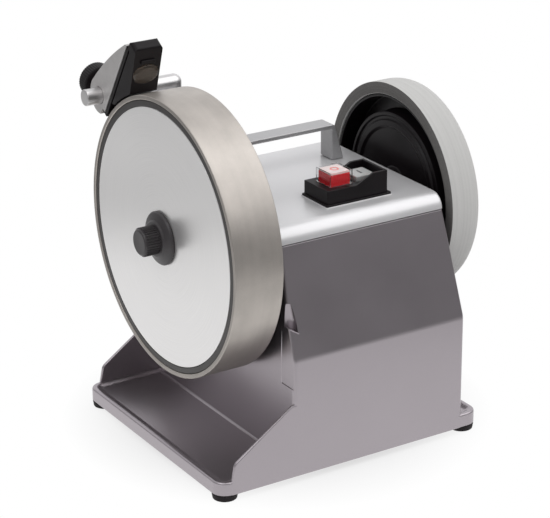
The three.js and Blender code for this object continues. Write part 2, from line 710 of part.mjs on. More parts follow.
function makeLockNut() {
  const back = coreFront - seat;
  const body = turned([
    [back - nut.end, 0], [back - nut.end, nut.grip - nut.gripDepth - nut.chamfer],
    [back - nut.end + nut.chamfer, nut.grip - nut.gripDepth], [back - nut.coneEnd, nut.grip - nut.gripDepth],
    [back - nut.coneEnd, nut.neck + nut.plain], [back - nut.plain, nut.flange], [back, nut.flange],
    [back, boreRadius], [back - nut.socket, boreRadius], [back - nut.socket, 0],
  ], 0, shaftHeight, HUB_FACETS);
  const outline = ridged(nut.grip, nut.gripDepth, nut.ridges);
  outline.forEach((p) => p.setY(p.y + shaftHeight));
  const grip = prism('x', outline, back - nut.end + nut.chamfer, back - nut.coneEnd + seat);
  const bore = rod(back - nut.socket, back + overrun, boreRadius, 0, shaftHeight, HUB_FACETS);
  place('quick_lock_nut', cut(join(body, grip), bore), 'nut');
}

// Honing wheel

function makeHoningWheel() {
  const x = honingNear;
  const edge = 0.6;
  const ring = [[x, honingInner + edge], [x, honingRadius - edge], [x + edge, honingRadius]];
  const roundStartShare = 0.66;
  const steps = 4;
  for (let k = 0; k <= steps; k++) {
    const turn = (k / steps) * (Math.PI / 2);
    const along = honingWidth * (roundStartShare + (1 - roundStartShare) * Math.sin(turn));
    ring.push([x + along, honingFarRadius + (honingRadius - honingFarRadius) * Math.cos(turn)]);
  }
  ring.push([x + honingWidth, honingInner], [x + edge, honingInner]);
  place('honing_ring', turned(ring, 0, shaftHeight, WHEEL_FACETS), 'honing');
  const outer = honingInner - seat;
  place('honing_dish', turned([
    [x - dish.hubNear, boreRadius], [x - dish.hubNear, dish.hubRadius], [x + dish.face, dish.hubRadius],
    [x + dish.face, dish.faceRadius], [x + dish.crest, dish.crestInner], [x + dish.crest, dish.crestOuter],
    [x + dish.step, dish.stepRadius], [x + dish.step, innerRingRadius],
    [x + dish.groove, innerRingRadius], [x + dish.groove, driveRadius], [x + dish.rim, driveRadius],
    [x + dish.rim, outer], [x + dish.wallBack, outer], [x + dish.wallBack, driveRadius - dish.ringEdge],
    [x + dish.back, driveRadius - dish.ringEdge * 2], [x + dish.back, innerRingRadius - dish.ringEdge * 4],
    [x + dish.face + dish.webThickness, dish.faceRadius],
    [x + dish.face + dish.webThickness, dish.hubBackRadius],
    [x + dish.hubBack, dish.hubRadius], [x + dish.hubBack, boreRadius],
  ], 0, shaftHeight, WHEEL_FACETS), 'black');
  const washer = x + dish.hubBack + seat;
  place('honing_washer', turned([
    [washer, boreRadius], [washer, dishNut.washer], [washer + dishNut.washerThickness, dishNut.washer],
    [washer + dishNut.washerThickness, boreRadius],
  ], 0, shaftHeight, ROUND_FACETS), 'steel');
  const nutFrom = washer + dishNut.washerThickness + seat;
  const hex = turned([
    [nutFrom, boreRadius], [nutFrom, dishNut.radius], [nutFrom + dishNut.length, dishNut.radius],
    [nutFrom + dishNut.length, boreRadius],
  ], 0, shaftHeight, dishNut.flats);
  const bore = rod(nutFrom - overrun, nutFrom + dishNut.length + overrun, boreRadius, 0, shaftHeight, ROUND_FACETS);
  place('honing_nut', cut(hex, bore), 'steel');
}

// Motor, hung from the top casting, with its rubber roller in the dish's groove

const motor = {
  endRoom: 6.1, bracket: 10, bracketWall: 3, rotorGap: 0.6, rotorRadius: 24,
  hanger: 3, hangerHalfWidth: 44, hangerUpperHalf: 22, hangerFoot: 12, lipHeight: 50,
  fanRadius: 32, fanThickness: 2, blade: 7, bladeCount: 7, bladeRoot: 12, bladeWidth: 2, toFan: 3,
  hangerFromRight: 54,
};

function makeMotor() {
  const z = motorAxisHeight;
  const hangerX = castingRight - motor.hangerFromRight;
  const frontBracket = hangerX - seat - motor.bracket;
  const statorTo = frontBracket - seat;
  const shaftFrom = casingLeft + wallThickness + motor.endRoom;
  const fanFrom = shaftFrom + seat + motor.blade;
  const fanTo = fanFrom + motor.fanThickness;
  const rearBracket = fanTo + motor.toFan;
  const statorFrom = rearBracket + motor.bracket + seat;
  const clear = motorShaftRadius + seat;
  const under = plateUnder - seat;
  let hanger = prism('x', rounded([
    [-motor.hangerHalfWidth, z - motor.hangerHalfWidth, motor.hangerFoot],
    [motor.hangerHalfWidth, z - motor.hangerHalfWidth, motor.hangerFoot],
    [motor.hangerHalfWidth, z + motor.hangerHalfWidth / 2, motor.hangerFoot],
    [motor.hangerUpperHalf, z + motor.lipHeight, motor.hangerFoot / 2], [motor.hangerUpperHalf, under],
    [-motor.hangerUpperHalf, under], [-motor.hangerUpperHalf, z + motor.lipHeight, motor.hangerFoot / 2],
    [-motor.hangerHalfWidth, z + motor.hangerHalfWidth / 2, motor.hangerFoot],
  ]), hangerX, hangerX + motor.hanger);
  hanger = join(hanger, block(hangerX, hangerX + motor.hangerFoot,
    -motor.hangerUpperHalf, motor.hangerUpperHalf, under - motor.hanger, under));
  hanger = cut(hanger,
    rod(hangerX - overrun, hangerX + motor.hanger + overrun, clear + seat, 0, z, ROUND_FACETS),
    rod(hangerX - overrun, hangerX + motor.hangerFoot + overrun, sleeveRadius, 0, shaftHeight, ROUND_FACETS));
  place('motor_hanger', hanger, 'steel');
  const cup = (open, shut) => {
    const wall = open + (shut - open) * (1 - motor.bracketWall / motor.bracket);
    const rim = motorRadius - motor.bracketWall;
    return turned([
      [open, rim], [open, motorRadius], [shut, motorRadius - motor.bracketWall],
      [shut, clear], [wall, clear], [wall, rim],
    ], 0, z, HUB_FACETS);
  };
  place('motor_front_bracket', cup(frontBracket, frontBracket + motor.bracket), 'steel');
  place('motor_rear_bracket', cup(rearBracket + motor.bracket, rearBracket), 'steel');
  place('motor_stator', turned([
    [statorFrom, motor.rotorRadius + motor.rotorGap], [statorFrom, motorRadius],
    [statorTo, motorRadius], [statorTo, motor.rotorRadius + motor.rotorGap],
  ], 0, z, HUB_FACETS), 'nut');
  place('rotor_core', turned([
    [statorFrom, clear], [statorFrom, motor.rotorRadius], [statorTo, motor.rotorRadius], [statorTo, clear],
  ], 0, z, ROUND_FACETS), 'steel');
  const rollerTo = honingNear + dish.groove - seat * 4;
  const rollerFrom = rollerTo - rollerLength;
  place('rotor_shaft', turned([
    [shaftFrom, 0], [shaftFrom, motorShaftRadius], [rollerFrom - seat, motorShaftRadius],
    [rollerFrom - seat, motorNoseRadius], [rollerTo - seat, motorNoseRadius], [rollerTo - seat, 0],
  ], 0, z, ROUND_FACETS), 'steel');
  place('drive_roller', turned([
    [rollerFrom, motorNoseRadius + seat], [rollerFrom, rollerRadius], [rollerTo, rollerRadius],
    [rollerTo, motorNoseRadius + seat],
  ], 0, z, ROUND_FACETS), 'rubber');
  let fan = turned([
    [fanFrom - motor.blade, clear], [fanFrom - motor.blade, motor.bladeRoot], [fanFrom, motor.bladeRoot],
    [fanFrom, motor.fanRadius], [fanTo, motor.fanRadius], [fanTo, clear],
  ], 0, z, ROUND_FACETS);
  for (let k = 0; k < motor.bladeCount; k++) {
    const blade = new THREE.BoxGeometry(motor.blade, motor.bladeWidth, motor.fanRadius - motor.bladeRoot);
    const middle = (motor.fanRadius + motor.bladeRoot - motor.bladeWidth) / 2;
    blade.translate(fanFrom - motor.blade / 2 + seat, 0, middle);
    blade.rotateX((k / motor.bladeCount) * 2 * Math.PI).translate(0, 0, z);
    fan = join(fan, solid(blade));
  }
  place('motor_fan', fan, 'black');
}

// Support bar and its lock

function makeSupportBar() {
  const left = guideLeft() - barReach;
  const ball = new THREE.SphereGeometry(barRadius, ROUND_FACETS, ROUND_FACETS / 2);
  const corner = solid(ball.translate(legX, barY, barZ));
  const along = turned([
    [left, 0], [left, barRadius - shaftChamfer], [left + shaftChamfer, barRadius],
    [legX, barRadius], [legX, 0],
  ], barY, barZ, ROUND_FACETS);
  const leg = post(seamHeight - legTail, barZ, barRadius, legX, barY, ROUND_FACETS);
  place('support_bar', join(along, corner, leg), 'steel');
  const y = barY + barRadius + seat;
  const z = plateTop + barLock.rise;
  const knobFrom = barY + sleeveOuter + barLock.shank / 2;
  const shank = pin(y, knobFrom + overrun, barLock.shank, legX, z, SMALL_FACETS);
  const outline = ridged(barLock.radius, barLock.ridgeDepth, barLock.ridges);
  outline.forEach((p) => p.set(p.x + legX, p.y + z));
  place('bar_lock_knob', join(shank, prism('y', outline, knobFrom, knobFrom + barLock.length)), 'black');
}

// Knife guide, drawn in its own frame: origin on the support bar's axis, z along the blade
// slot away from the wheel, y square to the slot and away from the shaft.

const legTail = 6;
const guideLeft = () => -guideOverhang;
const guide = {
  slotFront: 15.8, plateFront: 14.3, plateBack: 12, zincFront: 11.7, zincTop: 62, zincTopBack: 9.3,
  zincTipDrop: 1, bossRadius: 13.5, plateBottom: 6.6, hookBack: 8.3, hookThickness: 1.4, foldBottom: 63.9,
  capTop: 70.3, foldRadius: 3, noseRadius: 2.5, jawTop: 69.5, jawTopFront: 22.4,
  faceLean: THREE.MathUtils.degToRad(14.9), faceLength: 35.8,
  tip: 9, wheelGap: 1.2, cheek: 3.5, web: 3, pocketFrom: 17, sideInset: 0.3,
  lensWidth: 19.4, lensHeight: 14.8, lensThickness: 1.5, lensSink: 1.1, lensFromBottom: 14.5,
  ribWidth: 11, ribHeight: 3, ribRise: 0.9, ribFromBottom: 25.8,
};
const lockKnob = {
  angle: THREE.MathUtils.degToRad(25), neck: 6.5, neckFrom: 14.2, from: 22.6, to: 34.2, radius: 11,
  ridges: 16, ridgeDepth: 0.8,
};

// Outline of the die-cast body: straight front, round boss about the bar, slanted back.
function guideOutline() {
  const top = new THREE.Vector2(-guide.zincTopBack, guide.zincTop - guide.zincTipDrop);
  const reach = top.length();
  const tangent = top.angle() - Math.acos(guide.bossRadius / reach);
  const points = [new THREE.Vector2(-guide.zincFront, guide.zincTop), top];
  const start = tangent;
  const end = -Math.PI + Math.acos(guide.zincFront / guide.bossRadius);
  const steps = 14;
  for (let k = 0; k <= steps; k++) {
    const turn = start + ((end - start) * k) / steps;
    points.push(new THREE.Vector2(Math.cos(turn), Math.sin(turn)).multiplyScalar(guide.bossRadius));
  }
  return points;
}

function makeGuide() {
  const group = new THREE.Group();
  group.position.set(guideLeft(), barY, barZ);
  group.rotation.x = guideTilt;
  assembly.add(group);
  const [left, right] = [0, guideWidth];
  const [bodyLeft, bodyRight] = [guide.sideInset, guideWidth - guide.sideInset];
  const knobTurn = new THREE.Matrix4().makeRotationX(-lockKnob.angle);
  const along = (geometry) => geometry.applyMatrix4(knobTurn).translate(guideWidth / 2, 0, 0);
  const lathe = (profile, facets) => {
    const points = profile.map(([y, radius]) => new THREE.Vector2(radius, y));
    return solid(along(new THREE.LatheGeometry(points, facets)));
  };

  // Die-cast body with two cheeks
  let body = prism('x', guideOutline(), left, right);
  body = cut(body,
    block(guide.cheek, guideWidth - guide.cheek, -guide.zincFront + guide.web, guide.bossRadius * 2,
      guide.pocketFrom, guide.zincTop + overrun),
    rod(left - overrun, right + overrun, barRadius + seat, 0, 0, ROUND_FACETS),
    block(left - overrun, right + overrun, -guide.bossRadius - overrun, -guide.hookBack + seat,
      -guide.bossRadius - overrun, -guide.plateBottom + guide.hookThickness + seat),
    lathe([[barRadius, 0], [barRadius, barLock.shank + seat],
      [guide.bossRadius + overrun, barLock.shank + seat], [guide.bossRadius + overrun, 0]], SMALL_FACETS));
  place('guide_body', body, 'guideZinc', group);

  // Black back plate with its hook under the body
  place('guide_back_plate', join(
    block(bodyLeft, bodyRight, -guide.plateFront, -guide.plateBack,
      -guide.plateBottom, guide.foldBottom - seat),
    block(bodyLeft, bodyRight, -guide.plateFront, -guide.hookBack,
      -guide.plateBottom, -guide.plateBottom + guide.hookThickness),
  ), 'black', group);

  // Black front jaw: leans away from the slot and ends in an arc just clear of the wheel
  const faceBottomY = -guide.jawTopFront - guide.faceLength * Math.sin(guide.faceLean);
  const faceBottomZ = guide.jawTop - guide.faceLength * Math.cos(guide.faceLean);
  const past = guide.faceLength / 2;
  const capFront = -guide.jawTopFront + (guide.capTop - guide.jawTop) * Math.tan(guide.faceLean);
  const outline = rounded([
    [-guide.slotFront, guide.tip], [-guide.slotFront, guide.foldBottom], [-guide.plateBack, guide.foldBottom],
    [-guide.plateBack, guide.capTop, guide.foldRadius], [capFront, guide.capTop, guide.noseRadius],
    [faceBottomY - past * Math.sin(guide.faceLean), faceBottomZ - past * Math.cos(guide.faceLean)],
  ]);
  const shaftY = -barDistance * Math.cos(barDirection - guideTilt);
  const shaftZ = -barDistance * Math.sin(barDirection - guideTilt);
  let jaw = prism('x', outline, bodyLeft, bodyRight);
  jaw = cut(jaw,
    rod(left - overrun, right + overrun, wheelRadius + guide.wheelGap, shaftY, shaftZ, WHEEL_FACETS));
  const onFace = (geometry, up) => geometry
    .translate(0, 0, up)
    .applyMatrix4(new THREE.Matrix4().makeRotationX(-guide.faceLean))
    .translate(guideWidth / 2, faceBottomY, faceBottomZ);
  const oval = (grow, from, to) => {
    const disc = new THREE.CylinderGeometry(1, 1, to - from, HUB_FACETS);
    disc.scale(guide.lensWidth / 2 + grow, 1, guide.lensHeight / 2 + grow).translate(0, (from + to) / 2, 0);
    return solid(onFace(disc, guide.lensFromBottom));
  };
  jaw = cut(jaw, oval(seat, -overrun, guide.lensSink));
  const rib = new THREE.BoxGeometry(guide.ribWidth, guide.ribRise * 2, guide.ribHeight);
  jaw = join(jaw, solid(onFace(rib, guide.ribFromBottom)));
  place('guide_front_jaw', jaw, 'black', group);
  const lensBack = guide.lensSink - seat;
  place('guide_lens', oval(0, lensBack - guide.lensThickness, lensBack), 'clear', group);

  // Ribbed knob whose screw clamps the bar from behind
  const screw = lathe([
    [barRadius + seat, 0], [barRadius + seat, barLock.shank], [lockKnob.neckFrom, barLock.shank],
    [lockKnob.neckFrom, lockKnob.neck], [lockKnob.from + seat, lockKnob.neck], [lockKnob.from + seat, 0],
  ], SMALL_FACETS);
  const ridges = new THREE.Shape(ridged(lockKnob.radius, lockKnob.ridgeDepth, lockKnob.ridges));
  const grip = new THREE.ExtrudeGeometry(ridges, { depth: lockKnob.to - lockKnob.from, bevelEnabled: false });
  grip.rotateX(-Math.PI / 2).translate(0, lockKnob.from, 0);
  place('guide_lock_knob', join(screw, solid(along(grip))), 'black', group);
}

makeCasing();
makeBottomCover();
makeFeet();
makeCordGland();
makeTopCasting();
makeHandle();
makeSwitch();
makeGrindingWheel();
makeShaft();
makeLockNut();
makeHoningWheel();
makeMotor();
makeSupportBar();
makeGuide();

// Origin at the middle of the footprint, on the bench
assembly.updateMatrixWorld(true);
const bounds = new THREE.Box3().setFromObject(assembly, true);
const middle = bounds.getCenter(new THREE.Vector3());
const knifeSharpener = new THREE.Group();
assembly.position.set(-middle.x, -middle.y, -bounds.min.z);
knifeSharpener.add(assembly);

export default knifeSharpener;
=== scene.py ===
"""Electric knife sharpener: the visible pieces, their finishes, the light and the camera.

Lengths are metres. +X runs along the shaft from the grinding wheel to the honing wheel, -Y is the
front with the switch, +Z is up and z = 0 is the bench.
"""

from math import acos, atan2, cos, pi, radians, sin, tan
from types import SimpleNamespace

import bmesh
import bpy
from bpy.props import FloatProperty, FloatVectorProperty, PointerProperty
from mathutils import Matrix, Quaternion, Vector


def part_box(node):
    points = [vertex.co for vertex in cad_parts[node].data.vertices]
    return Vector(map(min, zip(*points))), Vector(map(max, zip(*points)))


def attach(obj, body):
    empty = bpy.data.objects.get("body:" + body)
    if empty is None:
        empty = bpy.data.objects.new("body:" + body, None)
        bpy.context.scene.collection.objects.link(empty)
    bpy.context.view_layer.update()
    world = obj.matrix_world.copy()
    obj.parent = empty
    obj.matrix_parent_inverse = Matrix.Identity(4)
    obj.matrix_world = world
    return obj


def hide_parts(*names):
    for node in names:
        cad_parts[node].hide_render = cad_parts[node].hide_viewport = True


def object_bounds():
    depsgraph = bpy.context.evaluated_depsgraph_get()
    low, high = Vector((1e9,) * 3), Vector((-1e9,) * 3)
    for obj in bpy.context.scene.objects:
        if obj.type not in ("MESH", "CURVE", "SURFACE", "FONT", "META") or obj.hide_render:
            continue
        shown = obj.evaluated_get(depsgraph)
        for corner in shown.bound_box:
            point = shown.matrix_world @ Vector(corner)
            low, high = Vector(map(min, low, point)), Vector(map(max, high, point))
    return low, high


bl_info = {
    "name": "Electric knife sharpener",
    "version": (1, 0, 0),
    "blender": (4, 5, 0),
    "location": "3D View > Sidebar > Sharpener",
    "description": "Builds an electric knife sharpener from separate pieces around its frame",
    "category": "Object",
}

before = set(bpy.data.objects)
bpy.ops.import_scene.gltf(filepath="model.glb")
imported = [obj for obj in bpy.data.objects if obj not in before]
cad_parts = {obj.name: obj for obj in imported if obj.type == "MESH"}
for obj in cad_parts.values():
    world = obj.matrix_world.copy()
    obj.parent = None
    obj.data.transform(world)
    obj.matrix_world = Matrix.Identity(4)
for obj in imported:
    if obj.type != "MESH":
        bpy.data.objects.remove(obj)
cad_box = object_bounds()

mm = 0.001

# Steps round a turned piece and round a corner
WHEEL_STEPS = 192
ROUND_STEPS = 64
SMALL_STEPS = 32
CORNER_STEPS = 8

# Room between pieces that seat on each other, and how far a cutting solid stands out of what it cuts
SEAT = 0.3 * mm
OVERRUN = 2 * mm

# Radii of the support bar, of the bores for it and for the shaft, and of the bores for the knobs' shanks
BAR_RADIUS = 6 * mm
BORE = 6.3 * mm
SHANK_BORE = 3.3 * mm

# Radius of the buttons' upright corners
BUTTON_CORNER = 1 * mm

# How far the casing's left side leans in up to the seam, and how high its front notch starts
LEFT_LEAN = 2 * mm
NOTCH_FLOOR = 113.9 * mm

# How far the wings and the base stand behind the shell's faces, so that no two faces coincide
WING_BEHIND = 0.02 * mm
BASE_BEHIND = 0.04 * mm

# Places that the frame gives

rim_low, rim_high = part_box("diamond_rim")
top_low, top_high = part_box("top_casting")
casing_low, casing_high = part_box("casing")
bar_low, bar_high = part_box("support_bar")

SHAFT_Y = (rim_low.y + rim_high.y) / 2
SHAFT_Z = (rim_low.z + rim_high.z) / 2
WHEEL_FACE = rim_low.x
WHEEL_RADIUS = (rim_high.z - rim_low.z) / 2
BASE_BOTTOM = casing_low.z
SEAM = casing_high.z
FRONT = casing_low.y
BACK = casing_high.y
TOP_FRONT = top_low.y
TOP_BACK = FRONT + BACK - TOP_FRONT
PLATE_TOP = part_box("carry_handle")[0].z - SEAT
CASING_LEFT = top_low.x - LEFT_LEAN
CASING_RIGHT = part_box("bottom_cover")[1].x
BAR_Y = (bar_low.y + bar_high.y) / 2
BAR_Z = bar_high.z - BAR_RADIUS
LEG_X = bar_high.x - BAR_RADIUS
GUIDE_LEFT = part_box("guide_body")[0].x


# Sizes and colours that a user would change


def length(name, description, value):
    return FloatProperty(name=name, description=description, default=value, unit="LENGTH", precision=5)


def colour(name, description, value):
    return FloatVectorProperty(name=name, description=description, default=value, size=3,
                               min=0, max=1, subtype="COLOR")


class SharpenerSizes(bpy.types.PropertyGroup):
    wall: length("Casing wall", "Wall thickness of the moulded casing", 3 * mm)
    crease: length("Crease height", "Height above the bench at which the casing starts to lean in", 92.3 * mm)
    crease_blend: length("Crease blend", "Height over which the crease is rounded", 2.5 * mm)
    base_height: length("Base height", "Height of the flange round the base", 10 * mm)
    base_corner: length("Base corner", "Radius of the base's corners seen from above", 10 * mm)
    recess: length("Tray recess", "Depth of the dust tray below the flange", 2 * mm)
    top_edge: length("Top edge radius", "Radius of the top casting's long front and back edges", 11.2 * mm)
    top_side: length("Top side radius", "Radius of the short side edges of the top casting", 2.4 * mm)
    handle_edge: length("Handle edge radius", "Radius of the handle's long edges", 0.7 * mm)
    disc_radius: length("Face disc radius", "Radius of the satin disc on the grinding wheel", 91.9 * mm)
    rim: length("Coated rim", "Thickness of the coated rim seen from the side", 3.3 * mm)


class SharpenerColours(bpy.types.PropertyGroup):
    casing: colour("Casing", "Metallic grey of the moulded casing", (0.400, 0.366, 0.390))
    zinc: colour("Top casting", "Light silver of the top casting and the handle", (0.720, 0.715, 0.725))
    guide: colour("Guide casting", "Matt grey of the knife guide", (0.560, 0.545, 0.540))
    black: colour("Black plastic", "Switch, guide jaw and knobs", (0.0080, 0.0060, 0.0072))
    nut: colour("Lock nut", "Dark grey plastic of the lock nut", (0.044, 0.0395, 0.0420))
    rubber: colour("Rubber", "Feet and drive roller", (0.026, 0.0225, 0.0245))
    steel: colour("Steel", "Support bar, shaft and screws", (0.680, 0.670, 0.670))
    coating: colour("Diamond coating", "Nickel ground of the coated tread", (0.500, 0.464, 0.430))
    core: colour("Wheel core", "Dark ring between the face disc and the coated rim", (0.055, 0.051, 0.050))
    disc: colour("Face disc", "Satin silver of the face disc", (0.810, 0.800, 0.796))
    honing: colour("Honing tread", "Pale grey of the elastic honing wheel", (0.550, 0.546, 0.533))
    honing_side: colour("Honing side", "Dark side face of the elastic honing wheel", (0.155, 0.150, 0.145))
    red: colour("Stop button", "Translucent red of the stop button", (0.720, 0.010, 0.018))
    pale: colour("Start button", "Pale grey of the start button", (0.420, 0.420, 0.415))
    bronze: colour("Bush", "Sintered bronze of the bearing bushes", (0.400, 0.220, 0.070))
    lens: colour("Lens", "Brownish tint of the guide's lens", (0.400, 0.330, 0.270))


class SharpenerStage(bpy.types.PropertyGroup):
    floor: colour("Floor", "Pale floor", (0.80, 0.80, 0.80))
    key: FloatProperty(name="Key light", description="Power of the large soft light above",
                       default=10.5, unit="POWER")
    fill: FloatProperty(name="Fill light", description="Power of the small soft light above the left side",
                        default=3, unit="POWER")
    lens: FloatProperty(name="Camera lens", description="Focal length in millimetres",
                        default=139.77, unit="CAMERA")
    azimuth: FloatProperty(name="Azimuth", description="Camera's turn about the upright axis",
                           default=radians(-31.998), subtype="ANGLE")
    elevation: FloatProperty(name="Elevation", description="Camera's height above the horizon",
                             default=radians(21.652), subtype="ANGLE")


def sizes():
    return bpy.context.scene.sharpener_sizes


def colours():
    return bpy.context.scene.sharpener_colours


# Outlines and solids. A solid is a list of vertices and a list of faces.


def quarter(steps):
    """Angles of equal steps through a quarter turn, both ends included."""
    return [pi / 2 * k / steps for k in range(steps + 1)]


def full_turn(steps):
    """Angles of equal steps round a full turn."""
    return [2 * pi * k / steps for k in range(steps)]


def rounded(corners, steps=CORNER_STEPS):
    """An outline of (a, b) points whose corners (a, b, radius) are rounded where a radius is given."""
    points = []
    for i, corner in enumerate(corners):
        here = Vector(corner[:2])
        radius = corner[2] if len(corner) > 2 else 0
        if radius <= 0:
            points.append(here)
            continue
        inward = (Vector(corners[i - 1][:2]) - here).normalized()
        outward = (Vector(corners[(i + 1) % len(corners)][:2]) - here).normalized()
        half = acos(max(-1, min(1, inward.dot(outward)))) / 2
        centre = here + (inward + outward).normalized() * radius / sin(half)
        start = here + inward * radius / tan(half) - centre
        end = here + outward * radius / tan(half) - centre
        first = atan2(start.y, start.x)
        sweep = (atan2(end.y, end.x) - first + pi) % (2 * pi) - pi
        for k in range(steps + 1):
            turn = first + sweep * k / steps
            points.append(centre + radius * Vector((cos(turn), sin(turn))))
    return points


def rectangle(a0, a1, b0, b1, radius=0, steps=CORNER_STEPS):
    return rounded([(a0, b0, radius), (a1, b0, radius), (a1, b1, radius), (a0, b1, radius)], steps)


def arc(centre, radius, first, last, steps=CORNER_STEPS):
    """Points of an arc from angle first to angle last, in radians."""
    angles = [first + (last - first) * k / steps for k in range(steps + 1)]
    return [(centre[0] + radius * cos(a), centre[1] + radius * sin(a)) for a in angles]


def skin(rings, closed=False, caps=True):
    """Joins rings of equally many points into one body. A closed skin joins its last ring to its first."""
    count = len(rings[0])
    vertices = [tuple(p) for ring in rings for p in ring]
    faces = []
    last = len(rings) if closed else len(rings) - 1
    for k in range(last):
        here, there = k * count, (k + 1) % len(rings) * count
        for i in range(count):
            j = (i + 1) % count
            faces.append((here + i, here + j, there + j, there + i))
    if caps and not closed:
        faces.append(tuple(reversed(range(count))))
        faces.append(tuple(range((len(rings) - 1) * count, len(rings) * count)))
    return vertices, faces


AXES = {
    "x": lambda a, b, along: (along, a, b),
    "y": lambda a, b, along: (a, along, b),
    "z": lambda a, b, along: (a, b, along),
}


def prism(axis, outline, start, end):
    """An outline pushed along an axis: (y, z) along x, (x, z) along y, or (x, y) along z."""
    place = AXES[axis]
    return skin([[place(a, b, along) for a, b in outline] for along in (start, end)])


def block(x0, x1, y0, y1, z0, z1):
    return prism("z", [(x0, y0), (x1, y0), (x1, y1), (x0, y1)], z0, z1)


def slab(low, high, bottom, top, grow=0.0, corner=0.0):
    """An upright block over a frame box, its sides moved outwards by grow and its corners rounded."""
    outline = rectangle(low.x - grow, high.x + grow, low.y - grow, high.y + grow, corner)
    return prism("z", outline, bottom, top)


def middle_of(low, high):
    """Middle of a frame box seen from above."""
    return (low.x + high.x) / 2, (low.y + high.y) / 2


def turned(axis, profile, centre, steps=ROUND_STEPS, closed=True):
    """A body of revolution from (along, radius) pairs about an axis through centre.

    A closed profile makes a ring. An open one starts and ends on the axis.
    """
    place = AXES[axis]
    rings = []
    for along, radius in profile:
        reach = max(radius, 0)
        rings.append([place(centre[0] + reach * cos(a), centre[1] + reach * sin(a), along)
                      for a in full_turn(steps)])
    if closed:
        return skin(rings, closed=True)
    inner = rings[1:-1]
    vertices, faces = skin(inner, caps=False)
    for pole, ring in ((profile[0], 0), (profile[-1], len(inner) - 1)):
        tip = len(vertices)
        vertices.append(place(centre[0], centre[1], pole[0]))
        for i in range(steps):
            faces.append((tip, ring * steps + i, ring * steps + (i + 1) % steps))
    return vertices, faces


def rod(axis, start, end, radius, centre, edge=0.0, steps=SMALL_STEPS):
    """A round bar with rounded or plain ends."""
    profile = [(start, 0)]
    if edge > 0:
        profile += [(start + edge - r, radius - edge + q) for q, r in arc((0, 0), edge, pi / 2, 0, 4)]
        profile += [(end - edge + r, radius - edge + q) for q, r in arc((0, 0), edge, 0, pi / 2, 4)]
    else:
        profile += [(start, radius), (end, radius)]
    profile.append((end, 0))
    return turned(axis, profile, centre, steps, closed=False)


def softened(profile, radius, steps=4, closed=True):
    """A (along, radius) profile with every corner rounded by at most a third of its shorter side."""
    corners = []
    for i, (a, b) in enumerate(profile):
        on_end = not closed and i in (0, len(profile) - 1)
        before = Vector(profile[i - 1]) - Vector((a, b))
        after = Vector(profile[(i + 1) % len(profile)]) - Vector((a, b))
        reach = min(before.length, after.length)
        straight = before.length * after.length > 0 and before.normalized().dot(after.normalized()) < -0.97
        corners.append((a, b, 0 if on_end or straight else min(radius, reach / 3)))
    return [tuple(p) for p in rounded(corners, steps)]


def moved(body, matrix):
    return [tuple(matrix @ Vector(v)) for v in body[0]], body[1]


# Objects


def mesh_of(name, bodies):
    vertices, faces = [], []
    for body_vertices, body_faces in bodies:
        start = len(vertices)
        vertices += body_vertices
        faces += [tuple(start + i for i in face) for face in body_faces]
    mesh = bpy.data.meshes.new(name)
    mesh.from_pydata(vertices, [], faces)
    shape = bmesh.new()
    shape.from_mesh(mesh)
    bmesh.ops.remove_doubles(shape, verts=shape.verts, dist=1e-7)
    bmesh.ops.dissolve_degenerate(shape, edges=shape.edges, dist=1e-8)
    bmesh.ops.recalc_face_normals(shape, faces=shape.faces)
    shape.to_mesh(mesh)
    shape.free()
    return mesh


def shape_object(name, bodies):
    """An object from one solid or a list of solids that may overlap."""
    bodies = bodies if isinstance(bodies, list) else [bodies]
    made = bpy.data.objects.new(name, mesh_of(name, bodies))
    bpy.context.scene.collection.objects.link(made)
    return made


def combine(made, operation, bodies):
    """Adds solids to an object or takes them away from it, one after the other."""
    cutters = []
    for k, body in enumerate(bodies):
        cutter = shape_object(f"{made.name}_tool_{k}", body)
        modifier = made.modifiers.new(cutter.name, "BOOLEAN")
        modifier.operation = operation
        modifier.solver = "MANIFOLD"
        modifier.object = cutter
        cutters.append(cutter)
    depsgraph = bpy.context.evaluated_depsgraph_get()
    changed = bpy.data.meshes.new_from_object(made.evaluated_get(depsgraph))
    made.modifiers.clear()
    before = made.data
    made.data = changed
    bpy.data.meshes.remove(before)
    for cutter in cutters:
        mesh = cutter.data
        bpy.data.objects.remove(cutter)
        bpy.data.meshes.remove(mesh)
    if not made.data.polygons:
        raise RuntimeError(f"{made.name} lost its faces in {operation}")
    return made


def soften(made, width, segments=3, angle=35):
    """Rounds an object's sharp edges and keeps its flat faces flat."""
    bevel = made.modifiers.new("edges", "BEVEL")
    bevel.width = width
    bevel.segments = segments
    bevel.limit_method = "ANGLE"
    bevel.angle_limit = radians(angle)
    bevel.miter_outer = "MITER_ARC"
    bevel.use_clamp_overlap = True
    return made


def finished(made, material, body, slot, *replaced, angle=35, second=None, chooser=None):
    """Shades an object, paints it, and lets it ride on its body in place of its frame nodes."""
    made.data.polygons.foreach_set("use_smooth", [True] * len(made.data.polygons))
    made.data.set_sharp_from_angle(angle=radians(angle))
    weighted = made.modifiers.new("flat faces", "WEIGHTED_NORMAL")
    weighted.keep_sharp = True
    weighted.weight = 100
    made.data.materials.clear()
    made.data.materials.append(material)
    if second is not None:
        made.data.materials.append(second)
        for face in made.data.polygons:
            face.material_index = 1 if chooser(face) else 0
    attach(made, body)
    if replaced:
        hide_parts(*replaced)
    return made


# Materials


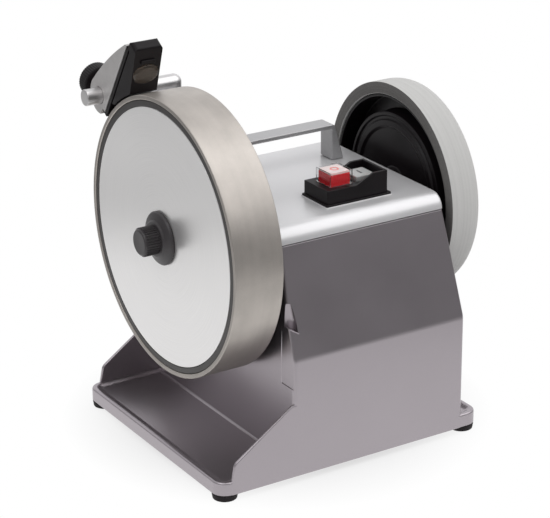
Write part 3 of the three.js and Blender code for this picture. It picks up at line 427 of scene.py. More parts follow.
class Nodes:
    """Short calls for one material's node tree."""

    def __init__(self, name):
        self.material = bpy.data.materials.new(name)
        self.material.use_nodes = True
        self.tree = self.material.node_tree
        self.shader = self.tree.nodes["Principled BSDF"]
        self.output = self.tree.nodes["Material Output"]
        self.place = self.add("ShaderNodeTexCoord").outputs["Object"]

    def add(self, kind, **values):
        node = self.tree.nodes.new(kind)
        for key, value in values.items():
            setattr(node, key, value)
        return node

    def fill(self, socket, value):
        if isinstance(value, bpy.types.NodeSocket):
            self.tree.links.new(value, socket)
        else:
            socket.default_value = value

    def set(self, **values):
        for key, value in values.items():
            self.fill(self.shader.inputs[key.replace("_", " ")], value)

    def noise(self, grain, detail=2.0, stretch=None):
        """Noise whose lumps are about grain metres across, stretched along the axes if asked."""
        vector = self.place
        if stretch:
            mapping = self.add("ShaderNodeMapping")
            self.fill(mapping.inputs["Vector"], vector)
            mapping.inputs["Scale"].default_value = stretch
            vector = mapping.outputs["Vector"]
        node = self.add("ShaderNodeTexNoise")
        self.fill(node.inputs["Vector"], vector)
        node.inputs["Scale"].default_value = 1 / grain
        node.inputs["Detail"].default_value = detail
        return node.outputs["Fac"]

    def scaled(self, value, low, high, from_low=0.3, from_high=0.7):
        node = self.add("ShaderNodeMapRange")
        self.fill(node.inputs["Value"], value)
        numbers = {"From Min": from_low, "From Max": from_high, "To Min": low, "To Max": high}
        for key, number in numbers.items():
            node.inputs[key].default_value = number
        return node.outputs["Result"]

    def mixed(self, share, first, second):
        node = self.add("ShaderNodeMix", data_type="RGBA")
        self.fill(node.inputs["Factor"], share)
        for key, value in (("A", first), ("B", second)):
            socket = [s for s in node.inputs if s.name == key and s.type == "RGBA"][0]
            self.fill(socket, value if isinstance(value, bpy.types.NodeSocket) else (*value[:3], 1))
        return [s for s in node.outputs if s.type == "RGBA"][0]

    def falloff(self, value, levels, reach):
        """A grey level over a distance, from (metres, level) pairs. The value is a share of reach."""
        node = self.add("ShaderNodeValToRGB")
        self.fill(node.inputs[0], value)
        stops = node.color_ramp
        stops.elements[0].color = (1, 1, 1, 1)
        stops.elements[1].color = (0.12, 0.12, 0.12, 1)
        for metres, level in levels:
            stop = stops.elements.new(metres / reach)
            stop.color = (level, level, level, 1)
        return node.outputs["Color"]

    def maths(self, operation, first, second=0.0):
        node = self.add("ShaderNodeMath", operation=operation)
        self.fill(node.inputs[0], first)
        self.fill(node.inputs[1], second)
        return node.outputs[0]

    def tint(self, value, base, darker, lighter, from_low=0.3, from_high=0.7):
        """The base colour follows a value from a darker to a lighter shade of one colour."""
        share = self.scaled(value, 0, 1, from_low, from_high)
        self.set(Base_Color=self.mixed(share, shaded(base, darker), shaded(base, lighter)))

    def bump(self, height, depth):
        node = self.add("ShaderNodeBump")
        self.fill(node.inputs["Height"], height)
        node.inputs["Distance"].default_value = depth
        node.inputs["Strength"].default_value = 1.0
        self.fill(self.shader.inputs["Normal"], node.outputs["Normal"])


def shaded(value, share):
    """A colour made lighter or darker by a share."""
    return tuple(min(1.0, c * share) for c in value)


def grained(name, base, roughness, metallic=0.0, grain=0.6 * mm, depth=0.02 * mm, mottle=0.06,
            specular=0.5, blotch=25 * mm, gloss_spread=0.05):
    """A finish with a fine grain, a faint blotchy tone and a roughness that varies a little."""
    n = Nodes(name)
    fine = n.noise(grain, 2.0)
    wide = n.noise(blotch, 3.0)
    tone = n.maths("ADD", n.maths("MULTIPLY", fine, 0.5), n.maths("MULTIPLY", wide, 0.5))
    n.tint(tone, base, 1 - mottle, 1 + mottle, 0.35, 0.65)
    n.set(Roughness=n.scaled(wide, roughness - gloss_spread, roughness + gloss_spread))
    n.set(Metallic=metallic, Specular_IOR_Level=specular)
    n.bump(fine, depth)
    return n.material


def about_shaft(n):
    """Place along the shaft, radius from its axis and turn about it, as shader values."""
    apart = n.add("ShaderNodeSeparateXYZ")
    n.fill(apart.inputs[0], n.place)
    y = n.maths("SUBTRACT", apart.outputs["Y"], SHAFT_Y)
    z = n.maths("SUBTRACT", apart.outputs["Z"], SHAFT_Z)
    radius = n.maths("SQRT", n.maths("ADD", n.maths("MULTIPLY", y, y), n.maths("MULTIPLY", z, z)))
    return apart.outputs["X"], radius, n.maths("ARCTAN2", y, z)


def rolled(n, along_grain, across_grain, round_grain, detail=2.0):
    """Noise laid out round the shaft, with its own grain along it, outwards and round it."""
    along, radius, turn = about_shaft(n)
    joined = n.add("ShaderNodeCombineXYZ")
    n.fill(joined.inputs[0], n.maths("DIVIDE", along, along_grain))
    n.fill(joined.inputs[1], n.maths("DIVIDE", radius, across_grain))
    n.fill(joined.inputs[2], n.maths("MULTIPLY", n.maths("ABSOLUTE", turn), WHEEL_RADIUS / round_grain))
    node = n.add("ShaderNodeTexNoise")
    n.fill(node.inputs["Vector"], joined.outputs[0])
    node.inputs["Scale"].default_value = 1
    node.inputs["Detail"].default_value = detail
    return node.outputs["Fac"]


def coating_material(name, share):
    """Diamond grit in matt nickel, with faint bands left round the tread."""
    n = Nodes(name)
    base = shaded(colours().coating, share)
    grit = n.noise(0.35 * mm, 3.0)
    bands = rolled(n, 5 * mm, 4 * mm, 120 * mm, 4.0)
    patches = n.noise(22 * mm, 3.0)
    tone = n.maths("ADD", n.maths("MULTIPLY", bands, 0.2),
                   n.maths("ADD", n.maths("MULTIPLY", grit, 0.35), n.maths("MULTIPLY", patches, 0.45)))
    n.tint(tone, base, 0.88, 1.10, 0.38, 0.62)
    n.set(Metallic=0.75, Roughness=n.scaled(grit, 0.36, 0.48))
    n.bump(grit, 0.05 * mm)
    return n.material


def disc_material():
    """Satin silver face, brushed in circles."""
    n = Nodes("satin_disc")
    brushed = rolled(n, 50 * mm, 0.35 * mm, 90 * mm, 2.0)
    wide = n.noise(60 * mm, 2.0)
    n.tint(brushed, colours().disc, 0.97, 1.03)
    n.set(Metallic=0.75, Roughness=n.scaled(wide, 0.28, 0.31))
    n.bump(brushed, 0.001 * mm)
    return n.material


def honing_material(name, base, side):
    """Elastic composite: fine speckle, with rings on its turned tread."""
    n = Nodes(name)
    speckle = n.noise(0.7 * mm, 3.0)
    bands = rolled(n, 1.6 * mm, 1.2 * mm, 200 * mm, 3.0)
    share = 0.6 if side else 0.35
    tone = n.maths("ADD", n.maths("MULTIPLY", speckle, share), n.maths("MULTIPLY", bands, 1 - share))
    spread = 0.16 if side else 0.045
    n.tint(tone, base, 1 - spread, 1 + spread, 0.38, 0.62)
    n.set(Roughness=0.82, Specular_IOR_Level=0.3)
    n.bump(speckle, 0.04 * mm)
    return n.material


def steel_material(name, base, roughness, along_x=True):
    """Ground steel with fine marks across its length."""
    n = Nodes(name)
    marks = n.noise(0.6 * mm, 2.0, stretch=(6, 1, 1) if along_x else (1, 1, 6))
    smudge = n.noise(12 * mm, 3.0)
    n.tint(smudge, base, 0.94, 1.05)
    n.set(Metallic=1.0, Roughness=n.scaled(smudge, roughness - 0.05, roughness + 0.06))
    n.bump(marks, 0.003 * mm)
    return n.material


def button_material(name, base, transmission, glow):
    """Moulded translucent plastic with a faint cloudiness."""
    n = Nodes(name)
    cloud = n.noise(4 * mm, 2.0)
    n.tint(cloud, base, 0.93, 1.06)
    n.set(Roughness=0.2, Coat_Weight=0.15, Transmission_Weight=transmission)
    n.set(Subsurface_Weight=glow, Subsurface_Radius=(2 * mm, 1 * mm, 1 * mm), Subsurface_Scale=1.0)
    n.bump(cloud, 0.01 * mm)
    return n.material


def clear_material(name, base, roughness=0.04, specular=0.5, transmission=1.0, index=1.46):
    """Clear moulded plastic with a faint haze."""
    n = Nodes(name)
    haze = n.noise(8 * mm, 2.0)
    n.set(Base_Color=(*base, 1), Roughness=n.scaled(haze, roughness, roughness + 0.06))
    n.set(Transmission_Weight=transmission, IOR=index, Specular_IOR_Level=specular)
    n.bump(haze, 0.01 * mm)
    return n.material


materials = {}


def make_materials():
    c = colours()
    iron = (0.12, 0.12, 0.125)
    cap_white = (0.80, 0.66, 0.64)
    mark_red = (0.75, 0.16, 0.15)
    clear = (0.97, 0.98, 0.98)
    materials.update(
        casing=grained("casing_grey", c.casing, 0.31, 0.9, grain=0.45 * mm, depth=0.012 * mm, mottle=0.03,
                       blotch=40 * mm, gloss_spread=0.02),
        zinc=grained("top_silver", c.zinc, 0.32, 0.4, grain=0.5 * mm, depth=0.010 * mm, mottle=0.02,
                     blotch=30 * mm, gloss_spread=0.03),
        # The handle's base is the top casting's silver darkened to 0.62, which paints shade onto the handle
        handle=grained("handle_silver_painted_shade", shaded(c.zinc, 0.62), 0.36, 0.6, grain=0.9 * mm, depth=0.05 * mm,
                       mottle=0.05, blotch=4 * mm, gloss_spread=0.04),
        guide=grained("guide_grey", c.guide, 0.5, 0.6, grain=0.55 * mm, depth=0.03 * mm, mottle=0.07,
                      blotch=6 * mm),
        black=grained("black_satin", c.black, 0.42, grain=0.5 * mm, depth=0.025 * mm, mottle=0.2,
                      specular=0.22),
        dish=grained("dish_black", c.black, 0.34, grain=0.8 * mm, depth=0.02 * mm, mottle=0.2,
                     specular=0.25),
        nut=grained("nut_dark", c.nut, 0.42, grain=0.5 * mm, depth=0.03 * mm, mottle=0.15),
        rubber=grained("rubber_black", c.rubber, 0.6, grain=0.7 * mm, depth=0.04 * mm, mottle=0.2,
                       specular=0.12),
        core=grained("core_dark", c.core, 0.45, 0.3, grain=0.5 * mm, depth=0.02 * mm, mottle=0.1),
        bronze=grained("bush_bronze", c.bronze, 0.4, 1.0, grain=0.4 * mm, depth=0.02 * mm, mottle=0.15),
        iron=grained("motor_iron", iron, 0.5, 0.8, grain=0.8 * mm, depth=0.03 * mm, mottle=0.15),
        steel=steel_material("ground_steel", c.steel, 0.33),
        upright_steel=steel_material("turned_steel", c.steel, 0.28, along_x=False),
        coating=coating_material("diamond_coating", 1),
        coating_side=coating_material("diamond_coating_side", 0.72),
        disc=disc_material(),
        honing=honing_material("honing_tread", c.honing, side=False),
        honing_side=honing_material("honing_side", c.honing_side, side=True),
        red=button_material("stop_red", c.red, 0.1, 0.1),
        pale=button_material("start_pale", c.pale, 0.15, 0.1),
        cap=button_material("stop_cap_white", cap_white, 0.1, 0.1),
        mark=grained("button_mark", mark_red, 0.4, mottle=0.05),
        clear=clear_material("clear_shroud", clear, specular=0.3, index=1.2),
        lens=clear_material("guide_lens_tint", c.lens, 0.05, specular=0.8, transmission=0.9),
    )


# Casing


def lean(z):
    """How far the casing's sides have leant in at a height: 0 at the crease, 1 at the seam."""
    crease = sizes().crease
    return (z - crease) / (SEAM - crease)


def casing_rings(inset, bottom, top):
    """Rounded rectangles of the casing's wall, from bottom to top, moved inwards by inset."""
    size = sizes()
    low = [CASING_LEFT + inset, CASING_RIGHT - inset, FRONT + inset, BACK - inset]
    high = [top_low.x + inset, top_high.x - inset, TOP_FRONT + inset, TOP_BACK - inset]
    corner = 3 * mm
    radius = max(corner - inset, corner / 3)

    def leaning(z):
        share = lean(z)
        return [a + (b - a) * share for a, b in zip(low, high)]

    levels = [(bottom, low)]
    over = leaning(size.crease + size.crease_blend)
    blend_steps = 6
    for k in range(blend_steps + 1):
        t = k / blend_steps
        z = size.crease + (2 * t - 1) * size.crease_blend
        levels.append((z, [a + (b - a) * t * t for a, b in zip(low, over)]))
    levels.append((top, leaning(top)))
    return [[(x, y, z) for x, y in rectangle(*box, radius)] for z, box in levels]


def base_body():
    """Flange with a rounded rim, the recessed tray floor and the hollow under it, in one skin."""
    size = sizes()
    bottom, top = BASE_BOTTOM, BASE_BOTTOM + size.base_height
    floor = top - size.recess
    under = floor - size.wall
    edge, rim, foot = 1.6 * mm, 3 * mm, 0.3 * mm
    slope_from, slope_width, slope_steps = edge + 0.8 * mm, 5.5 * mm, 12
    profile = [(rim, under), (rim, bottom), (foot, bottom), (0, bottom + foot)]
    profile += [(edge - edge * cos(a), top - edge + edge * sin(a)) for a in quarter(6)]
    for k in range(slope_steps + 1):
        height = 0.5 + 0.5 * cos(pi * k / slope_steps)
        profile.append((slope_from + slope_width * k / slope_steps, floor + size.recess * height))
    rings = []
    for inset, z in profile:
        radius = max(size.base_corner - inset, 2 * mm)
        outline = rectangle(casing_low.x + inset, casing_high.x - inset, FRONT + inset + BASE_BEHIND,
                            BACK - inset - BASE_BEHIND, radius, 12)
        rings.append([(x, y, z) for x, y in outline])
    return skin(rings)


def wing_outline():
    """Slanted side wing of the tray as (x, z), seen from the front."""
    top = BASE_BOTTOM + sizes().base_height
    head = top + 44.5 * mm
    inside = CASING_LEFT + 6 * mm
    left = casing_low.x + 12.4 * mm
    return [
        (inside, BASE_BOTTOM),
        (inside, head),
        (CASING_LEFT - 1.5 * mm, head),
        (left, top + 12.6 * mm, 6 * mm),
        (left - 3 * mm, top - 2 * mm),
        (left - 3 * mm, BASE_BOTTOM),
    ]


def wing_body(outer, inner):
    """One wing between its outer and inner face, with rounded top edges."""
    foot, head, shoulder, knee, heel, toe = wing_outline()
    edge = 1.1 * mm
    side = 1 if inner > outer else -1
    steps = 4
    rings = []
    for depth, first, last in ((outer, pi / 2, 0), (inner, 0, pi / 2)):
        for k in range(steps + 1):
            turn = first + (last - first) * k / steps
            inset = edge * (1 - cos(turn))
            along = depth + side * edge * (1 - sin(turn)) * (1 if depth == outer else -1)
            shrunk = [
                foot,
                (head[0], head[1] - inset),
                (shoulder[0], shoulder[1] - inset),
                (knee[0] + inset, knee[1] - inset * 0.4, knee[2] - inset),
                (heel[0] + inset, heel[1]),
                (toe[0] + inset, toe[1]),
            ]
            rings.append([(x, along, z) for x, z in rounded(shrunk)])
    return skin(rings)


def cove(axis, corner, directions, radius, start, end):
    """A hollow fillet along a corner between two faces, sunk a little into both."""
    (a, b), (da, db) = corner, directions
    sunk = 0.4 * mm
    curve = [(a + da * radius * (1 - sin(t)), b + db * radius * (1 - cos(t))) for t in quarter(6)]
    outline = [(a - da * sunk, b - db * sunk), (a - da * sunk, b + db * radius), *curve,
               (a + da * radius, b - db * sunk)]
    return prism(axis, outline, start, end)


class SHARPENER_OT_casing(bpy.types.Operator):
    """Build the moulded casing: shell, base with the dust tray, and its two wings"""

    bl_idname = "sharpener.casing"
    bl_label = "Casing"

    def execute(self, context):
        size = sizes()
        floor = BASE_BOTTOM + size.base_height - size.recess
        self.shell(floor - size.wall)

        base = shape_object("casing_base", base_body())
        finished(base, materials["casing"], "machine", "casing_plastic")
        thickness = 2.5 * mm
        for name, outer_y, inner_y in (("front", FRONT + WING_BEHIND, FRONT + thickness),
                                       ("rear", BACK - WING_BEHIND, BACK - thickness)):
            wing = shape_object(f"casing_wing_{name}", wing_body(outer_y, inner_y))
            finished(wing, materials["casing"], "machine", "casing_plastic", angle=40)

        # Fillets where the tray's floor meets the casing and the wings
        radius = 1.3 * mm
        left, right, wing_left = CASING_LEFT, CASING_RIGHT, wing_outline()[5][0] + 2 * mm
        strips = [
            cove("y", (left, floor), (-1, 1), radius, FRONT + thickness, BACK - thickness),
            cove("x", (FRONT + thickness, floor), (1, 1), radius, wing_left, left),
            cove("x", (BACK - thickness, floor), (-1, 1), radius, wing_left, left),
            cove("y", (right, floor), (1, 1), radius / 2, FRONT + 4 * mm, BACK - 4 * mm),
        ]
        fillets = shape_object("casing_fillets", strips)
        finished(fillets, materials["casing"], "machine", "casing_plastic", angle=50)

        lip = shape_object("casing_notch_lip", self.notch_lip())
        finished(lip, materials["casing"], "machine", "casing_plastic", angle=60)
        paint("bottom_cover", materials["steel"])
        paint("cord_gland", materials["black"])
        return {"FINISHED"}

    def shell(self, bottom):
        """Walls with a shallow recess, a slot for the shaft, and holes for the motor's shaft and the cord."""
        size = sizes()
        left, right = CASING_LEFT, CASING_RIGHT
        edge = 0.15 * mm
        outer = casing_rings(0, BASE_BOTTOM, SEAM - edge)
        rim = casing_rings(edge, BASE_BOTTOM, SEAM)[-1]
        inner = casing_rings(size.wall, bottom - OVERRUN, SEAM)
        shell = shape_object("casing_shell", skin(outer + [rim]))
        hollow = shape_object("hollow", skin(inner))
        combine(hollow, "DIFFERENCE", [self.notch(size.wall)])
        mesh = hollow.data
        hollow_body = ([tuple(v.co) for v in mesh.vertices], [tuple(f.vertices) for f in mesh.polygons])
        bpy.data.objects.remove(hollow)

        slot_half, motor_hole, cord_hole = 10 * mm, 9 * mm, 6.3 * mm
        motor_low, motor_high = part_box("rotor_shaft")
        gland_low, gland_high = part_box("cord_gland")
        step, recess_back = 0.5 * mm, FRONT + 16.1 * mm
        recess_low, recess_high = 70.5 * mm, 116 * mm
        recess = [(left - OVERRUN, FRONT - OVERRUN), (left + step, FRONT - OVERRUN),
                  (left + step, recess_back), (left - OVERRUN, recess_back + step + OVERRUN)]
        combine(shell, "DIFFERENCE", [
            hollow_body,
            self.notch(0),
            prism("z", recess, recess_low, recess_high),
            block(left - OVERRUN, right + OVERRUN, SHAFT_Y - slot_half, SHAFT_Y + slot_half,
                  SHAFT_Z - slot_half, SEAM + OVERRUN),
            rod("x", (left + right) / 2, right + OVERRUN, motor_hole,
                (SHAFT_Y, (motor_low.z + motor_high.z) / 2)),
            rod("y", BACK - size.wall - OVERRUN, BACK + OVERRUN, cord_hole,
                ((gland_low.x + gland_high.x) / 2, (gland_low.z + gland_high.z) / 2)),
        ])
        finished(shell, materials["casing"], "machine", "casing_plastic", "casing")

    def notch(self, grow):
        """Scoop in the front edge: its floor falls to the right and its hollow runs out at the top."""
        radius, high, inset = 5.2 * mm + grow, 130.5 * mm, 2.2 * mm
        out, fall, steps = 2.4 * mm, 0.65, 48
        corner = (CASING_LEFT, FRONT + (TOP_FRONT - FRONT) * lean(NOTCH_FLOOR))
        rings = []
        for z, away in ((NOTCH_FLOOR - grow, 0), (high + grow, out)):
            ring = []
            for turn in full_turn(steps):
                x = corner[0] + inset - away + radius * cos(turn)
                y = corner[1] + inset - away * 0.4 + radius * sin(turn)
                drop = max(0, x - corner[0] - 0.5 * mm) * fall if z < high else 0
                ring.append((x, y, z - drop))
            rings.append(ring)
        return skin(rings)

    def notch_lip(self):
        """Thin rolled edge along the foot of the notch, from the left face round to the front."""
        radius, steps = 0.45 * mm, 10

        def on_casing(right, back, z):
            share = lean(z)
            x = CASING_LEFT + LEFT_LEAN * share + right
            return Vector((x, FRONT + (TOP_FRONT - FRONT) * share + back, z))

        path = [on_casing(0, 4.6 * mm, NOTCH_FLOOR), on_casing(0.1 * mm, 1.2 * mm, 113.6 * mm),
                on_casing(1.4 * mm, 0.1 * mm, 112.8 * mm), on_casing(6.6 * mm, 0, 109.6 * mm)]
        rings = []
        for k, point in enumerate(path):
            along = (path[min(k + 1, len(path) - 1)] - path[max(k - 1, 0)]).normalized()
            side = along.cross(Vector((0, 0, 1))).normalized()
            up = side.cross(along)
            rings.append([tuple(point + radius * (side * cos(a) + up * sin(a))) for a in full_turn(steps)])
        return skin(rings)


def paint(node, material):
    """Gives a frame node its finish."""
    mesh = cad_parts[node].data
    mesh.materials.clear()
    mesh.materials.append(material)


class SHARPENER_OT_feet(bpy.types.Operator):
    """Build the four rubber feet"""

    bl_idname = "sharpener.feet"
    bl_label = "Feet"

    def execute(self, context):
        grow, taper, bore, hole, sink = 1.4 * mm, 0.6 * mm, 4.2 * mm, 2.3 * mm, 2.6 * mm
        for place in ("front_left", "front_right", "rear_left", "rear_right"):
            low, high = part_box(f"foot_{place}")
            radius = (high.x - low.x) / 2 + grow
            profile = softened([
                (low.z, bore), (low.z, radius - taper), (high.z - 1.2 * mm, radius),
                (high.z, radius - 0.2 * mm), (high.z, hole), (low.z + sink, hole), (low.z + sink, bore),
            ], 0.7 * mm)
            foot = shape_object(f"rubber_foot_{place}", turned("z", profile, middle_of(low, high)))
            finished(foot, materials["rubber"], "machine", "black_rubber", f"foot_{place}")
            paint(f"foot_screw_{place}", materials["upright_steel"])
        return {"FINISHED"}


# Top casting and handle


def top_outline(inset):
    """The top casting's outline as (y, z), moved inwards by inset except along its open bottom."""
    front, back, bottom, plate = TOP_FRONT + inset, TOP_BACK - inset, SEAM + SEAT, PLATE_TOP - inset
    radius = sizes().top_edge - inset
    return rounded([(front, bottom), (back, bottom), (back, plate, radius), (front, plate, radius)], 14)


class SHARPENER_OT_top(bpy.types.Operator):
    """Build the light top casting with its bearing blocks and the sleeve for the support bar"""

    bl_idname = "sharpener.top"
    bl_label = "Top casting"

    def execute(self, context):
        axis = (SHAFT_Y, SHAFT_Z)
        edge, thick, wall = sizes().top_side, 6 * mm, 9.6 * mm
        rings = []
        for end, way in ((top_low.x, 1), (top_high.x, -1)):
            section = [(end + way * edge * (1 - sin(t)), edge * (1 - cos(t))) for t in quarter(7)]
            for x, inset in sorted(section):
                rings.append([(x, y, z) for y, z in top_outline(inset)])
        top = shape_object("top_cover_casting", skin(rings))
        switch_low, switch_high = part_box("switch_body")
        bottom = SEAM - OVERRUN
        groove_top, groove, side_hole = SEAM + SEAT + 0.7 * mm, 1.1 * mm, 8.8 * mm
        x0, x1, y0, y1 = top_low.x, top_high.x, TOP_FRONT, TOP_BACK
        combine(top, "DIFFERENCE", [
            block(x0 - OVERRUN, x1 + OVERRUN, y0 - OVERRUN, y0 + groove, bottom, groove_top),
            block(x0 - OVERRUN, x1 + OVERRUN, y1 - groove, y1 + OVERRUN, bottom, groove_top),
            block(x0 - OVERRUN, x0 + groove, y0 - OVERRUN, y1 + OVERRUN, bottom, groove_top),
            block(x1 - groove, x1 + OVERRUN, y0 - OVERRUN, y1 + OVERRUN, bottom, groove_top),
            block(x0 + thick, x1 - thick, y0 + wall, y1 - wall, bottom, PLATE_TOP - thick),
            slab(switch_low, switch_high, PLATE_TOP - thick - OVERRUN, PLATE_TOP + OVERRUN, SEAT),
            rod("x", x0 - OVERRUN, x0 + thick + OVERRUN, side_hole, axis),
            rod("x", x1 - thick - OVERRUN, x1 + OVERRUN, side_hole, axis),
        ])
        finished(top, materials["zinc"], "machine", "zinc_casting", "top_casting", angle=40)

        blocks = []
        half, bush_hole = 14 * mm, 9.3 * mm
        for bush in ("bush_wheel_side", "bush_honing_side"):
            low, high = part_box(bush)
            blocks.append(block(low.x, high.x, SHAFT_Y - half, SHAFT_Y + half, SHAFT_Z - half,
                                PLATE_TOP - thick + 1 * mm))
        bearings = shape_object("top_bearing_blocks", blocks)
        combine(bearings, "DIFFERENCE", [rod("x", top_low.x, top_high.x, bush_hole, axis)])
        soften(bearings, 0.6 * mm)
        finished(bearings, materials["zinc"], "machine", "zinc_casting")

        self.bar_sleeve()
        for node in ("top_screw_front_left", "top_screw_front_right", "top_screw_rear_left",
                     "top_screw_rear_right", "handle_screw_left", "handle_screw_right"):
            paint(node, materials["upright_steel"])
        return {"FINISHED"}

    def bar_sleeve(self):
        """Sleeve for the support bar's leg, and the lug that joins it to the casting."""
        outer, inset, low, high = 10.5 * mm, 0.2 * mm, SEAM + SEAT, top_high.z
        profile = softened([(low, BORE), (low, outer), (high, outer), (high, BORE)], 1 * mm)
        sleeve = shape_object("top_bar_sleeve", turned("z", profile, (LEG_X, BAR_Y), 96))
        knob_low, knob_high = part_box("bar_lock_knob")
        combine(sleeve, "DIFFERENCE", [rod("y", BAR_Y, BAR_Y + outer + OVERRUN, SHANK_BORE,
                                           (LEG_X, (knob_low.z + knob_high.z) / 2))])
        finished(sleeve, materials["zinc"], "machine", "zinc_casting", angle=40)
        lug = shape_object("top_bar_lug", block(LEG_X - outer + inset, LEG_X + outer - inset,
                                                TOP_BACK - 8 * mm, BAR_Y - 2 * mm, low, PLATE_TOP - 0.6 * mm))
        combine(lug, "DIFFERENCE", [rod("z", SEAM - OVERRUN, PLATE_TOP + OVERRUN, BORE + 0.5 * mm,
                                        (LEG_X, BAR_Y))])
        soften(lug, 1.2 * mm)
        finished(lug, materials["zinc"], "machine", "zinc_casting")


class SHARPENER_OT_handle(bpy.types.Operator):
    """Build the carrying handle"""

    bl_idname = "sharpener.handle"
    bl_label = "Handle"

    def execute(self, context):
        low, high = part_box("carry_handle")
        foot, draw, thick = 10.2 * mm, 7.8 * mm, 3.3 * mm
        outline = rounded([
            (low.x, low.z), (low.x + foot, low.z), (low.x + foot, high.z - thick, 1.6 * mm),
            (high.x - foot, high.z - thick, 1.6 * mm), (high.x - foot, low.z), (high.x, low.z),
            (high.x - draw, high.z, 3 * mm), (low.x + draw, high.z, 3 * mm)])
        handle = shape_object("handle_strap", prism("y", outline, low.y, high.y))
        soften(handle, sizes().handle_edge, 3, 40)
        finished(handle, materials["handle"], "machine", "zinc_casting", "carry_handle", angle=40)
        return {"FINISHED"}


# Switch


class SHARPENER_OT_switch(bpy.types.Operator):
    """Build the switch: black housing, red stop button under a clear shroud, pale start button"""

    bl_idname = "sharpener.switch"
    bl_label = "Switch"

    def execute(self, context):
        low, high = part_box("switch_housing")
        stop_low, stop_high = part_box("stop_button")
        start_low, start_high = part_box("start_button")
        flange, edge, wall, play = 1.5 * mm, 1.5 * mm, 2 * mm, 0.4 * mm

        pad = shape_object("top_switch_pad", slab(low, high, PLATE_TOP - 0.2 * mm, low.z + 0.2 * mm,
                                                  0.5 * mm, edge))
        soften(pad, 0.3 * mm)
        finished(pad, materials["zinc"], "machine", "zinc_casting")

        # Room for the buttons, pressed too, in the flange and the housing
        wells = [slab(*button, low.z + 0.6 * mm, high.z + OVERRUN, play)
                 for button in ((stop_low, stop_high), (start_low, start_high))]
        plate = shape_object("switch_flange", slab(low, high, low.z, low.z + flange, corner=edge))
        soften(plate, 0.45 * mm)
        combine(plate, "DIFFERENCE", wells)
        finished(plate, materials["black"], "machine", "black_plastic")

        x0, x1, y0, y1 = low.x + edge, high.x - 2 * edge, low.y + edge, high.y - edge
        bottom, deck = low.z + 0.1 * mm, low.z + 11.3 * mm
        ramp_start, ramp_end = x0 + 24.2 * mm, x0 + 38.2 * mm
        housing = shape_object("switch_case", prism("y", [
            (x0, bottom), (x1, bottom), (x1, high.z), (ramp_end, high.z), (ramp_start, deck), (x0, deck)],
            y0, y1))
        guard = block(ramp_start + wall, x1 - wall, y0 + wall, y1 - wall, deck, high.z + OVERRUN)
        combine(housing, "DIFFERENCE", [guard, *wells])
        soften(housing, 0.35 * mm, 3)
        finished(housing, materials["black"], "machine", "black_plastic", "switch_housing", "switch_body")

        self.stop_button(stop_low, stop_high)
        self.start_button(start_low, start_high)
        self.shroud()
        return {"FINISHED"}

    def stop_button(self, low, high):
        """Red button with a white cap and a ring on it."""
        cap = 1.6 * mm
        stop = shape_object("stop_button_red", slab(low, high, low.z, high.z - cap, corner=BUTTON_CORNER))
        soften(stop, 0.4 * mm)
        finished(stop, materials["red"], "stop", "red_plastic", "stop_button")
        lid = shape_object("stop_button_cap", slab(low, high, high.z - cap - 0.2 * mm, high.z - 0.15 * mm,
                                                   -0.1 * mm, 1.2 * mm))
        soften(lid, 0.6 * mm)
        finished(lid, materials["cap"], "stop", "red_plastic")
        sunk, proud, inner, outer = high.z - 0.4 * mm, high.z - 0.05 * mm, 2.1 * mm, 3.2 * mm
        profile = [(sunk, inner), (sunk, outer), (proud, outer), (proud, inner)]
        mark = shape_object("stop_mark", turned("z", profile, middle_of(low, high), 48))
        finished(mark, materials["mark"], "stop", "red_plastic")

    def start_button(self, low, high):
        """Pale button with a line on it."""
        start = shape_object("start_button_pale", slab(low, high, low.z, high.z - 0.1 * mm,
                                                       corner=BUTTON_CORNER))
        soften(start, 0.8 * mm)
        finished(start, materials["pale"], "start", "pale_plastic", "start_button")
        x, y = middle_of(low, high)
        half_width, half_length = 0.6 * mm, 3 * mm
        line = shape_object("start_mark", block(x - half_width, x + half_width, y - half_length,
                                                y + half_length, high.z - 0.4 * mm, high.z))
        finished(line, materials["black"], "start", "pale_plastic")

    def shroud(self):
        """Clear wall round the stop button, open at both ends."""
        low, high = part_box("stop_button_collar")
        wall = 0.8 * mm
        shroud = shape_object("clear_shroud", slab(low, high, low.z, high.z, corner=BUTTON_CORNER))
        combine(shroud, "DIFFERENCE", [slab(low, high, low.z - OVERRUN, high.z + OVERRUN, -wall)])
        soften(shroud, 0.2 * mm, 2)
        finished(shroud, materials["clear"], "machine", "clear_plastic", "stop_button_collar")


# Grinding wheel


def wheel_piece(name, profile):
    """A piece turned about the shaft from (x, radius) pairs."""
    return shape_object(name, turned("x", profile, (SHAFT_Y, SHAFT_Z), WHEEL_STEPS))


def ribbed(ridges, sharpness):
    """Angles round a knob, each with how far its rib stands out there, from 0 to 1."""
    per_ridge = 6
    waves = [(0.5 + 0.5 * cos(2 * pi * i / per_ridge)) ** sharpness for i in range(ridges * per_ridge)]
    return list(zip(full_turn(ridges * per_ridge), waves))


